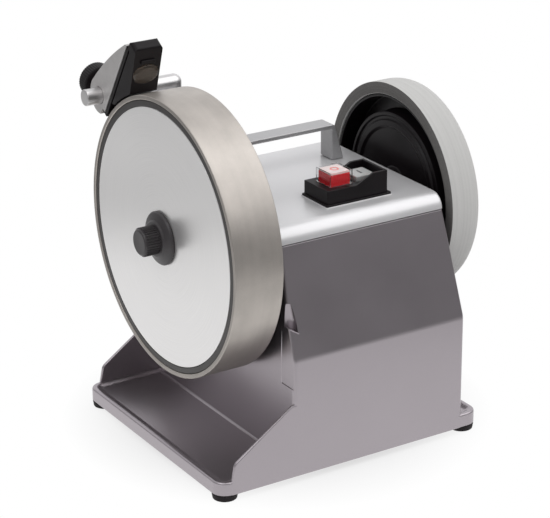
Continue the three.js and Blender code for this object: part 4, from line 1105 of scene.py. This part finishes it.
class SHARPENER_OT_grinding_wheel(bpy.types.Operator):
    """Build the grinding wheel, its face disc, the lock nut and the parts on the shaft"""

    bl_idname = "sharpener.grinding_wheel"
    bl_label = "Grinding wheel"

    def execute(self, context):
        size = sizes()
        near, far, inner = rim_low.x, rim_high.x, WHEEL_RADIUS - size.rim
        rim = wheel_piece("coated_rim", softened([
            (near, inner), (near, WHEEL_RADIUS), (far, WHEEL_RADIUS), (far, inner)], 0.8 * mm))
        finished(rim, materials["coating"], "spindle", "diamond_coating", "diamond_rim",
                 second=materials["coating_side"], chooser=lambda face: face.normal.x < -0.9)

        core_low, core_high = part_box("wheel_core")
        disc_low, disc_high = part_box("wheel_face_disc")
        pocket, pocket_radius = disc_high.x + SEAT, size.disc_radius + SEAT
        outer = inner - 0.15 * mm
        web = pocket + 12 * mm
        core = wheel_piece("wheel_core_dark", softened([
            (pocket, BORE), (pocket, pocket_radius), (core_low.x, pocket_radius), (core_low.x, outer),
            (core_high.x, outer), (core_high.x, outer - 12 * mm), (web, outer - 14 * mm),
            (web, 24 * mm), (core_high.x, 22 * mm), (core_high.x, BORE)], 0.8 * mm))
        finished(core, materials["core"], "spindle", "wheel_core_metal", "wheel_core")

        near, far, radius = disc_low.x, disc_high.x, size.disc_radius
        disc = wheel_piece("wheel_face", softened([
            (near, BORE), (near, radius), (far, radius), (far, BORE)], 0.35 * mm))
        finished(disc, materials["disc"], "spindle", "satin_disc", "wheel_face_disc")

        self.lock_nut()
        for node in ("main_shaft", "wheel_flange", "spacer_sleeve", "honing_washer", "honing_nut"):
            paint(node, materials["steel"])
        for node in ("bush_wheel_side", "bush_honing_side"):
            paint(node, materials["bronze"])
        return {"FINISHED"}

    def lock_nut(self):
        """Knurled knob on a conical flange."""
        low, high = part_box("quick_lock_nut")
        front, back = low.x, high.x
        profile = [
            (front + 0.2 * mm, 0), (front + 0.2 * mm, 2 * mm), (front, 8.2 * mm), (front + 0.4 * mm, 9 * mm),
            (front + 1.2 * mm, 9.5 * mm), (back - 5.8 * mm, 9.6 * mm), (back - 5.6 * mm, 12.2 * mm),
            (back - 4.4 * mm, 13.6 * mm), (back - 2.4 * mm, 18.4 * mm), (back - 1.4 * mm, 19.2 * mm),
            (back, 19.2 * mm), (back, BORE), (back - 11 * mm, BORE), (back - 11 * mm, 0)]
        body = turned("x", softened(profile, 0.5 * mm, 3, closed=False), (SHAFT_Y, SHAFT_Z), 96, closed=False)
        cone = shape_object("lock_nut_body", body)
        finished(cone, materials["nut"], "lock_nut", "dark_plastic", "quick_lock_nut")

        outer, root = 10.4 * mm, 9.3 * mm
        rings = []
        for x, share in ((front + 1.3 * mm, 0), (front + 1.8 * mm, 1),
                         (back - 5.9 * mm, 1), (back - 5.5 * mm, 0)):
            ring = []
            for turn, wave in ribbed(34, 0.7):
                reach = root - 0.3 * mm + (outer - root + 0.3 * mm) * (wave * share)
                ring.append((x, SHAFT_Y + reach * cos(turn), SHAFT_Z + reach * sin(turn)))
            rings.append(ring)
        finished(shape_object("lock_nut_knurl", skin(rings)), materials["nut"], "lock_nut", "dark_plastic")


# Honing wheel


class SHARPENER_OT_honing_wheel(bpy.types.Operator):
    """Build the honing wheel's elastic ring and its ribbed black dish"""

    bl_idname = "sharpener.honing_wheel"
    bl_label = "Honing wheel"

    def execute(self, context):
        low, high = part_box("honing_ring")
        near, far = low.x, high.x
        radius = (high.z - low.z) / 2
        inner, far_radius = 69.5 * mm, 73.7 * mm
        width = far - near
        shoulder = 0.62
        profile = [(near, inner + 0.5 * mm), (near, radius - 0.5 * mm),
                   (near + 0.15 * mm, radius - 0.15 * mm), (near + 0.5 * mm, radius)]
        for t in quarter(16):
            profile.append((near + width * (shoulder + (1 - shoulder) * sin(t)),
                            far_radius + (radius - far_radius) * cos(t)))
        profile += [(far - 0.4 * mm, inner + 0.5 * mm), (far - 1 * mm, inner), (near + 0.5 * mm, inner)]

        def on_side(face):
            return face.center.x < near + 0.2 * mm or (face.normal.x > 0.9 and face.center.x > far - 1 * mm)

        ring = wheel_piece("honing_tyre", profile)
        finished(ring, materials["honing"], "spindle", "honing_composite", "honing_ring", angle=25,
                 second=materials["honing_side"], chooser=on_side)

        # Dish, as millimetres behind the ring's front face and millimetres from the shaft's axis
        ribs = ((4.6, 14.5), (4.6, 43), (3.2, 45), (3.2, 49), (4.9, 50), (4.9, 52), (3.6, 53), (3.6, 55.6),
                (17, 55.6), (17, 67), (1.2, 67))
        back = ((22, 66.2), (20.5, 65.4), (20.5, 52.4), (10.6, 45), (10.6, 17), (14, 14))
        dish_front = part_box("honing_dish")[0].x
        outer = inner - 0.1 * mm
        profile = [(dish_front, BORE), (dish_front, 14 * mm)]
        profile += [(near + depth * mm, reach * mm) for depth, reach in ribs]
        profile += [(near + 1.2 * mm, outer), (near + 22 * mm, outer)]
        profile += [(near + depth * mm, reach * mm) for depth, reach in back]
        profile.append((near + 14 * mm, BORE))
        dish = wheel_piece("honing_dish_black", softened(profile, 0.9 * mm))
        finished(dish, materials["dish"], "spindle", "black_plastic", "honing_dish")
        return {"FINISHED"}


# Motor, all behind the casing


class SHARPENER_OT_motor(bpy.types.Operator):
    """Paint the motor's parts, which the casing hides"""

    bl_idname = "sharpener.motor"
    bl_label = "Motor"

    def execute(self, context):
        for node in ("motor_hanger", "motor_front_bracket", "motor_rear_bracket", "rotor_shaft"):
            paint(node, materials["steel"])
        for node in ("motor_stator", "rotor_core"):
            paint(node, materials["iron"])
        paint("drive_roller", materials["rubber"])
        paint("motor_fan", materials["black"])
        return {"FINISHED"}


# Support bar and knife guide


def knob_body(radius, depth, ridges, start, end):
    """Ribbed knob along +y about the origin, with drawn-in ends."""
    outline = []
    for turn, wave in ribbed(ridges, 0.6):
        reach = radius - depth * (1 - wave)
        outline.append((reach * cos(turn), reach * sin(turn)))
    edge = 0.8 * mm
    tip, rounding = 1 - edge / radius * 1.6, 1 - edge / radius * 0.6
    rings = []
    for along, shrink in ((start, tip), (start + edge * 0.4, rounding), (start + edge, 1),
                          (end - edge, 1), (end - edge * 0.4, rounding), (end, tip)):
        rings.append([(a * shrink, along, b * shrink) for a, b in outline])
    return skin(rings)


class SHARPENER_OT_support_bar(bpy.types.Operator):
    """Build the bent support bar and the knob that locks it"""

    bl_idname = "sharpener.support_bar"
    bl_label = "Support bar"

    def execute(self, context):
        radius, chamfer = BAR_RADIUS, 0.8 * mm
        circle = [(radius * cos(a), radius * sin(a)) for a in full_turn(48)]
        rings = []
        for x, r in ((bar_low.x, radius - chamfer), (bar_low.x + 0.25 * mm, radius - chamfer * 0.3),
                     (bar_low.x + chamfer, radius)):
            rings.append([(x, BAR_Y + a * r / radius, BAR_Z + b * r / radius) for a, b in circle])
        middle = Vector((LEG_X, BAR_Y, BAR_Z))
        for t in quarter(12):
            up = Vector((sin(t), 0, cos(t)))
            ring = []
            for a, b in circle:
                if b >= 0:
                    ring.append(tuple(middle + Vector((0, a, 0)) + up * b))
                else:
                    ring.append((LEG_X + b, BAR_Y + a, BAR_Z + b))
            rings.append(ring)
        for low, r in ((bar_low.z + chamfer, radius), (bar_low.z, radius - chamfer)):
            rings.append([(LEG_X + b * r / radius, BAR_Y + a * r / radius, low) for a, b in circle])
        bar = shape_object("support_bar_steel", skin(rings))
        finished(bar, materials["steel"], "bar", "steel", "support_bar", angle=30)

        low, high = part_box("bar_lock_knob")
        knob_z = (low.z + high.z) / 2
        shank, knob_start = 3 * mm, BAR_Y + 12 * mm
        knob = knob_body((high.x - low.x) / 2, 0.9 * mm, 12, knob_start, high.y)
        bodies = [moved(knob, Matrix.Translation((LEG_X, 0, knob_z))),
                  rod("y", low.y, knob_start + 1 * mm, shank, (LEG_X, knob_z))]
        finished(shape_object("bar_lock_black", bodies), materials["black"], "bar_lock", "black_plastic",
                 "bar_lock_knob", angle=50)
        return {"FINISHED"}


# The guide stands upright here, with the bar's axis as its origin. Most lengths are reaches from that axis
# to the front, the back or the top.
GUIDE = SimpleNamespace(
    tilt=radians(32.3), width=22 * mm, side=0.3 * mm,
    # Die-cast body
    boss=13.5 * mm, zinc_front=11.7 * mm, zinc_top=62.6 * mm, zinc_top_back=9.6 * mm, swell=4 * mm,
    cheek=3.5 * mm, web=3 * mm, pocket_from=17 * mm,
    # Back plate and the hook at its foot
    plate_front=14.9 * mm, plate_back=12 * mm, plate_bottom=6.6 * mm, hook_back=8.3 * mm, hook=1.4 * mm,
    # Front jaw
    slot_front=16.4 * mm, fold_bottom=61.6 * mm, fold=4 * mm, cap_back=64.2 * mm, cap_top=69.4 * mm,
    nose=2.2 * mm, corner=3 * mm, back_corner=2.6 * mm, tip=9 * mm, wheel_gap=1.2 * mm,
    jaw_top=69.5 * mm, jaw_top_front=22.4 * mm, face_lean=radians(14.9), face_length=35.8 * mm,
    # Lens and rib on the jaw's face, measured from its lower end
    lens_width=19.4 * mm, lens_height=14.8 * mm, lens_from_bottom=14.5 * mm,
    rib_width=11 * mm, rib_height=3 * mm, rib_from_bottom=24.6 * mm,
    # Lock knob
    knob_angle=radians(25), neck=6.5 * mm, neck_from=14.2 * mm, knob=12.8 * mm, knob_from=18.5 * mm,
    knob_to=28.5 * mm,
)


def guide_place():
    return Matrix.Translation((GUIDE_LEFT, BAR_Y, BAR_Z)) @ Matrix.Rotation(GUIDE.tilt, 4, "X")


class SHARPENER_OT_guide(bpy.types.Operator):
    """Build the knife guide: die-cast body, back plate, front jaw with its lens, and lock knob"""

    bl_idname = "sharpener.guide"
    bl_label = "Knife guide"

    def execute(self, context):
        g = GUIDE
        place = guide_place()
        left, right = g.side, g.width - g.side
        self.casting(place)

        # Black back plate with its hook
        plate = shape_object("guide_plate", [
            block(left, right, -g.plate_front, -g.plate_back, -g.plate_bottom, g.fold_bottom - SEAT),
            block(left, right, -g.plate_front + 0.01 * mm, -g.hook_back, -g.plate_bottom,
                  -g.plate_bottom + g.hook)])
        plate.data.transform(place)
        soften(plate, 0.3 * mm)
        finished(plate, materials["black"], "guide", "black_plastic", "guide_back_plate")
        self.jaw(place, left, right)
        self.knob(place)
        return {"FINISHED"}

    def casting(self, place):
        """Die-cast body with its boss round the bar and a pocket in its back."""
        g = GUIDE
        top = Vector((-g.zinc_top_back, g.zinc_top - 1 * mm))
        first = atan2(top.y, top.x) - acos(g.boss / top.length)
        last = -pi + acos(g.zinc_front / g.boss)
        tangent = Vector((g.boss * cos(first), g.boss * sin(first)))
        swell = (top + tangent) / 2 + (top - tangent).orthogonal().normalized() * -g.swell
        steps = 12
        curve = []
        for t in [k / steps for k in range(steps)]:
            curve.append(tuple(top.lerp(swell, t).lerp(swell.lerp(tangent, t), t)))
        outline = [(-g.zinc_front, g.zinc_top)] + curve + arc((0, 0), g.boss, first, last, 48)
        knob_turn = Matrix.Translation((g.width / 2, 0, 0)) @ Matrix.Rotation(-g.knob_angle, 4, "X")
        body = shape_object("guide_casting", prism("x", outline, 0, g.width))
        combine(body, "DIFFERENCE", [
            block(g.cheek, g.width - g.cheek, -g.zinc_front + g.web, 2 * g.boss, g.pocket_from,
                  g.zinc_top + OVERRUN),
            rod("x", -OVERRUN, g.width + OVERRUN, BORE, (0, 0), steps=64),
            block(-OVERRUN, g.width + OVERRUN, -g.boss - OVERRUN, -g.hook_back + SEAT, -g.boss - OVERRUN,
                  -g.plate_bottom + g.hook + SEAT),
            moved(rod("y", 6 * mm, g.boss + OVERRUN, SHANK_BORE, (0, 0)), knob_turn),
        ])
        body.data.transform(place)
        soften(body, 0.45 * mm, 3, 40)
        finished(body, materials["guide"], "guide", "guide_zinc", "guide_body", angle=40)

    def jaw(self, place, left, right):
        """Front jaw: a wedge with a slot for the blade and an arc that clears the wheel."""
        g = GUIDE
        bottom_y = -g.jaw_top_front - g.face_length * sin(g.face_lean)
        bottom_z = g.jaw_top - g.face_length * cos(g.face_lean)
        past = g.face_length / 2
        cap_front = -g.jaw_top_front + (g.cap_top - g.jaw_top) * tan(g.face_lean)
        outline = rounded([
            (-g.slot_front, g.tip), (-g.slot_front, g.fold_bottom, 0.6 * mm),
            (-g.plate_back, g.fold_bottom), (-g.plate_back, g.cap_back, 0.8 * mm),
            (-g.plate_front, g.cap_top, g.fold), (cap_front, g.cap_top, g.nose),
            (bottom_y - past * sin(g.face_lean), bottom_z - past * cos(g.face_lean))])
        shaft = place.inverted() @ Vector((0, SHAFT_Y, SHAFT_Z))
        jaw = shape_object("guide_jaw", prism("x", outline, left, right))
        face = Matrix.Translation((g.width / 2, bottom_y, bottom_z)) @ Matrix.Rotation(-g.face_lean, 4, "X")
        lens_place = face @ Matrix.Translation((0, 0, g.lens_from_bottom))
        play, lens_bottom = 0.3 * mm, 1.3 * mm
        stretch = Matrix.Diagonal((g.lens_width / 2 + play, 1, g.lens_height / 2 + play, 1))
        lens_bed = moved(rod("y", -OVERRUN, lens_bottom, 1, (0, 0), steps=64), lens_place @ stretch)

        far_front = -2 * g.face_length
        front_view = rounded([(left, -g.tip), (right, -g.tip), (right, g.cap_top, g.corner),
                              (left, g.cap_top, g.corner)])
        top_view = rounded([(left, far_front), (right, far_front), (right, -g.plate_back, g.back_corner),
                            (left, -g.plate_back, g.back_corner)])
        combine(jaw, "INTERSECT", [prism("y", front_view, far_front, 0)])
        combine(jaw, "INTERSECT", [prism("z", top_view, -g.tip, 2 * g.cap_top)])
        combine(jaw, "DIFFERENCE", [
            rod("x", left - OVERRUN, right + OVERRUN, WHEEL_RADIUS + g.wheel_gap, (shaft.y, shaft.z),
                steps=256),
            lens_bed])
        jaw.data.transform(place)
        soften(jaw, 0.5 * mm, 3, 40)
        finished(jaw, materials["black"], "jaw", "black_plastic", "guide_front_jaw", angle=40)

        half, rib_high, middle = g.rib_width / 2, g.rib_height / 2, g.rib_from_bottom
        rib = shape_object("guide_rib", moved(
            block(-half, half, -1.5 * mm, 0.9 * mm, middle - rib_high, middle + rib_high), place @ face))
        soften(rib, 0.6 * mm)
        finished(rib, materials["black"], "jaw", "black_plastic")
        self.window(place, face, lens_place)

    def window(self, place, face, lens_place):
        """Domed oval lens in the jaw's face, with a thin rim round it."""
        g = GUIDE
        bulge, depth = 2.2 * mm, 0.9 * mm
        dome = [(-bulge * cos(t), sin(t)) for t in quarter(10)]
        disc = turned("y", dome + [(depth, 1), (depth, 0)], (0, 0), closed=False)
        stretch = Matrix.Diagonal((g.lens_width / 2, 1, g.lens_height / 2, 1))
        lens = shape_object("guide_window", moved(disc, lens_place @ stretch))
        lens.data.transform(place)
        finished(lens, materials["lens"], "jaw", "clear_plastic", "guide_lens", angle=40)
        wire = 0.2 * mm
        rings = []
        for turn in full_turn(64):
            out = Vector((cos(turn) * g.lens_height, 0, sin(turn) * g.lens_width)).normalized()
            x, z = cos(turn) * g.lens_width / 2, sin(turn) * g.lens_height / 2 + g.lens_from_bottom
            at = Vector((x, -0.3 * mm, z))
            rings.append([tuple(at + out * wire * cos(a) + Vector((0, wire * sin(a), 0)))
                          for a in full_turn(8)])
        rim = shape_object("guide_window_rim", moved(skin(rings, closed=True), place @ face))
        finished(rim, materials["lens"], "jaw", "clear_plastic")

    def knob(self, place):
        """Knurled knob that locks the guide on the bar, with its neck and shank."""
        g = GUIDE
        turn = place @ Matrix.Translation((g.width / 2, 0, 0)) @ Matrix.Rotation(-g.knob_angle, 4, "X")
        bodies = [
            rod("y", BORE, g.neck_from + 1 * mm, 3 * mm, (0, 0)),
            rod("y", g.neck_from, g.knob_from + 1 * mm, g.neck, (0, 0), 0.5 * mm, 48),
            knob_body(g.knob, 0.45 * mm, 44, g.knob_from, g.knob_to),
        ]
        knob = shape_object("guide_knob", [moved(body, turn) for body in bodies])
        finished(knob, materials["black"], "guide_lock", "black_plastic", "guide_lock_knob", angle=50)


# Stage

# Level directions, as the camera sees them: away from it, and across the floor to the front right
AWAY = (0.53, 0.85, 0)
FRONT_RIGHT = (0.53, -0.85, 0)


def area_light(name, power, side, location, target):
    """A square soft light that looks at a target."""
    data = bpy.data.lights.new(name, "AREA")
    data.energy = power
    data.shape = "RECTANGLE"
    data.size, data.size_y = side, side
    lamp = bpy.data.objects.new(name, data)
    bpy.context.scene.collection.objects.link(lamp)
    lamp.location = location
    lamp.rotation_mode = "QUATERNION"
    lamp.rotation_quaternion = (Vector(target) - Vector(location)).to_track_quat("-Z", "Y")


def make_world():
    """White to the camera; to everything else a studio that darkens near the horizon at the front."""
    world = bpy.data.worlds.new("studio")
    bpy.context.scene.world = world
    world.use_nodes = True
    tree = world.node_tree
    tree.nodes.clear()

    def add(kind, **values):
        node = tree.nodes.new(kind)
        for key, value in values.items():
            setattr(node, key, value)
        return node

    place = add("ShaderNodeTexCoord")
    apart = add("ShaderNodeSeparateXYZ")
    tree.links.new(place.outputs["Generated"], apart.inputs[0])
    ramp = add("ShaderNodeValToRGB")
    stops = ramp.color_ramp
    tree.links.new(apart.outputs["Z"], ramp.inputs[0])
    stops.elements[0].position = 0.0
    stops.elements[0].color = (0.19, 0.185, 0.19, 1)
    stops.elements[1].position = 1.0
    stops.elements[1].color = (0.75, 0.75, 0.76, 1)
    for position, level in ((0.20, 0.23), (0.42, 0.58), (0.65, 0.70)):
        stop = stops.elements.new(position)
        stop.color = (level, level, level * 1.01, 1)
    towards = add("ShaderNodeVectorMath", operation="DOT_PRODUCT")
    tree.links.new(place.outputs["Generated"], towards.inputs[0])
    towards.inputs[1].default_value = AWAY
    behind = add("ShaderNodeMapRange")
    tree.links.new(towards.outputs["Value"], behind.inputs["Value"])
    behind.inputs["From Min"].default_value = 0.25
    behind.inputs["From Max"].default_value = 0.8
    mix = add("ShaderNodeMix", data_type="RGBA")
    tree.links.new(behind.outputs["Result"], mix.inputs["Factor"])
    sockets = {s.name: s for s in mix.inputs if s.type == "RGBA"}
    tree.links.new(ramp.outputs["Color"], sockets["A"])
    sockets["B"].default_value = (0.95, 0.95, 0.96, 1)
    studio = add("ShaderNodeBackground")
    tree.links.new([s for s in mix.outputs if s.type == "RGBA"][0], studio.inputs["Color"])
    studio.inputs["Strength"].default_value = 1.0
    white = add("ShaderNodeBackground")
    white.inputs["Color"].default_value = (1, 1, 1, 1)
    paths = add("ShaderNodeLightPath")
    seen = add("ShaderNodeMath", operation="MAXIMUM")
    tree.links.new(paths.outputs["Is Camera Ray"], seen.inputs[0])
    tree.links.new(paths.outputs["Is Transmission Ray"], seen.inputs[1])
    choose = add("ShaderNodeMixShader")
    tree.links.new(seen.outputs[0], choose.inputs[0])
    tree.links.new(studio.outputs[0], choose.inputs[1])
    tree.links.new(white.outputs[0], choose.inputs[2])
    output = add("ShaderNodeOutputWorld")
    tree.links.new(choose.outputs[0], output.inputs[0])


def make_floor():
    """Pale floor that the camera sees as white away from the object's shadow."""
    reach = 3
    corners = [(-reach, -reach, 0), (reach, -reach, 0), (reach, reach, 0), (-reach, reach, 0)]
    floor = shape_object("floor", (corners, [(0, 1, 2, 3)]))
    floor.location.z = -0.2 * mm
    n = Nodes("floor_pale")
    n.set(Base_Color=(*bpy.context.scene.sharpener_stage.floor, 1), Roughness=0.9, Specular_IOR_Level=0.1)
    white = n.add("ShaderNodeEmission")
    white.inputs["Color"].default_value = (1, 1, 1, 1)
    distance = n.add("ShaderNodeVectorMath", operation="DISTANCE")
    n.fill(distance.inputs[0], n.place)
    middle = (cad_box[0] + cad_box[1]) / 2
    distance.inputs[1].default_value = (middle.x, middle.y, 0)
    fade = n.scaled(distance.outputs["Value"], 0, 1, 0.0, 0.16)
    paths = n.add("ShaderNodeLightPath")
    seen = n.maths("MAXIMUM", paths.outputs["Is Camera Ray"], paths.outputs["Is Transmission Ray"])
    choose = n.add("ShaderNodeMixShader")
    n.fill(choose.inputs[0], n.maths("MULTIPLY", seen, fade))
    n.fill(choose.inputs[1], n.shader.outputs[0])
    n.fill(choose.inputs[2], white.outputs[0])

    # In reflections the floor is white close by and falls off further away, sooner at the front right
    horizon = 1.5
    far = n.scaled(distance.outputs["Value"], 0, 1, 0, horizon)
    left_back = n.falloff(far, ((0.43, 1.0), (0.50, 0.62), (0.59, 0.44), (0.69, 0.86), (1.0, 0.45)), horizon)
    front_right = n.falloff(far, ((0.34, 1.0), (0.50, 0.36), (0.70, 0.25), (1.0, 0.20)), horizon)
    side = n.add("ShaderNodeVectorMath", operation="DOT_PRODUCT")
    n.fill(side.inputs[0], n.place)
    side.inputs[1].default_value = FRONT_RIGHT
    seen_floor = n.mixed(n.scaled(side.outputs["Value"], 0, 1, 0, 0.2), left_back, front_right)
    table = n.add("ShaderNodeEmission")
    n.fill(table.inputs["Color"], seen_floor)
    reflected = n.add("ShaderNodeMixShader")
    n.fill(reflected.inputs[0], paths.outputs["Is Glossy Ray"])
    n.fill(reflected.inputs[1], choose.outputs[0])
    n.fill(reflected.inputs[2], table.outputs[0])
    n.fill(n.output.inputs["Surface"], reflected.outputs[0])
    floor.data.materials.append(n.material)


class SHARPENER_OT_stage(bpy.types.Operator):
    """Set the floor, the light and the camera"""

    bl_idname = "sharpener.stage"
    bl_label = "Stage"

    def execute(self, context):
        context.scene.view_settings.view_transform = "Standard"
        make_world()
        make_floor()
        stage = context.scene.sharpener_stage
        area_light("light_above", stage.key, 1.7, (0.74, -0.60, 1.40), (0, 0, 0.1))
        area_light("light_above_left", stage.fill, 0.6, (-0.95, -0.35, 1.30), (0, 0, 0.12))
        self.camera(context)
        return {"FINISHED"}

    def camera(self, context):
        """Camera that stands away from a place behind and beside the middle of the wheel's face."""
        stage = context.scene.sharpener_stage
        distance, roll = 1.5, radians(-0.36821)
        aim = Vector((WHEEL_FACE, SHAFT_Y, SHAFT_Z)) + Vector((75.66, -27.87, -22.63)) * mm
        back = Vector((sin(stage.azimuth) * cos(stage.elevation),
                       -cos(stage.azimuth) * cos(stage.elevation), sin(stage.elevation)))
        data = bpy.data.cameras.new("camera")
        data.lens = stage.lens
        data.dof.use_dof = False
        camera = bpy.data.objects.new("camera", data)
        context.scene.collection.objects.link(camera)
        camera.location = aim + back * distance
        camera.rotation_mode = "QUATERNION"
        camera.rotation_quaternion = (-back).to_track_quat("-Z", "Y") @ Quaternion((0, 0, 1), roll)
        context.scene.camera = camera


# Panel and registration


OPERATORS = (
    SHARPENER_OT_casing, SHARPENER_OT_feet, SHARPENER_OT_top, SHARPENER_OT_handle, SHARPENER_OT_switch,
    SHARPENER_OT_grinding_wheel, SHARPENER_OT_honing_wheel, SHARPENER_OT_motor, SHARPENER_OT_support_bar,
    SHARPENER_OT_guide, SHARPENER_OT_stage,
)


class SHARPENER_PT_panel(bpy.types.Panel):
    """Sizes, colours and the steps that build the sharpener"""

    bl_label = "Knife sharpener"
    bl_idname = "SHARPENER_PT_panel"
    bl_space_type = "VIEW_3D"
    bl_region_type = "UI"
    bl_category = "Sharpener"

    def draw(self, context):
        layout = self.layout
        scene = context.scene
        for group in (scene.sharpener_sizes, scene.sharpener_colours, scene.sharpener_stage):
            box = layout.box()
            for name in group.bl_rna.properties.keys():
                if name not in ("name", "rna_type"):
                    box.prop(group, name)
        for operator in OPERATORS:
            layout.operator(operator.bl_idname)


GROUPS = (
    (SharpenerSizes, "sharpener_sizes"),
    (SharpenerColours, "sharpener_colours"),
    (SharpenerStage, "sharpener_stage"),
)


def register():
    for group, name in GROUPS:
        bpy.utils.register_class(group)
        setattr(bpy.types.Scene, name, PointerProperty(type=group))
    for operator in OPERATORS:
        bpy.utils.register_class(operator)
    bpy.utils.register_class(SHARPENER_PT_panel)


def unregister():
    bpy.utils.unregister_class(SHARPENER_PT_panel)
    for operator in reversed(OPERATORS):
        bpy.utils.unregister_class(operator)
    for group, name in reversed(GROUPS):
        delattr(bpy.types.Scene, name)
        bpy.utils.unregister_class(group)


def main():
    register()
    make_materials()
    bpy.ops.sharpener.casing()
    bpy.ops.sharpener.feet()
    bpy.ops.sharpener.top()
    bpy.ops.sharpener.handle()
    bpy.ops.sharpener.switch()
    bpy.ops.sharpener.grinding_wheel()
    bpy.ops.sharpener.honing_wheel()
    bpy.ops.sharpener.motor()
    bpy.ops.sharpener.support_bar()
    bpy.ops.sharpener.guide()
    bpy.ops.sharpener.stage()


if __name__ == "__main__":
    main()
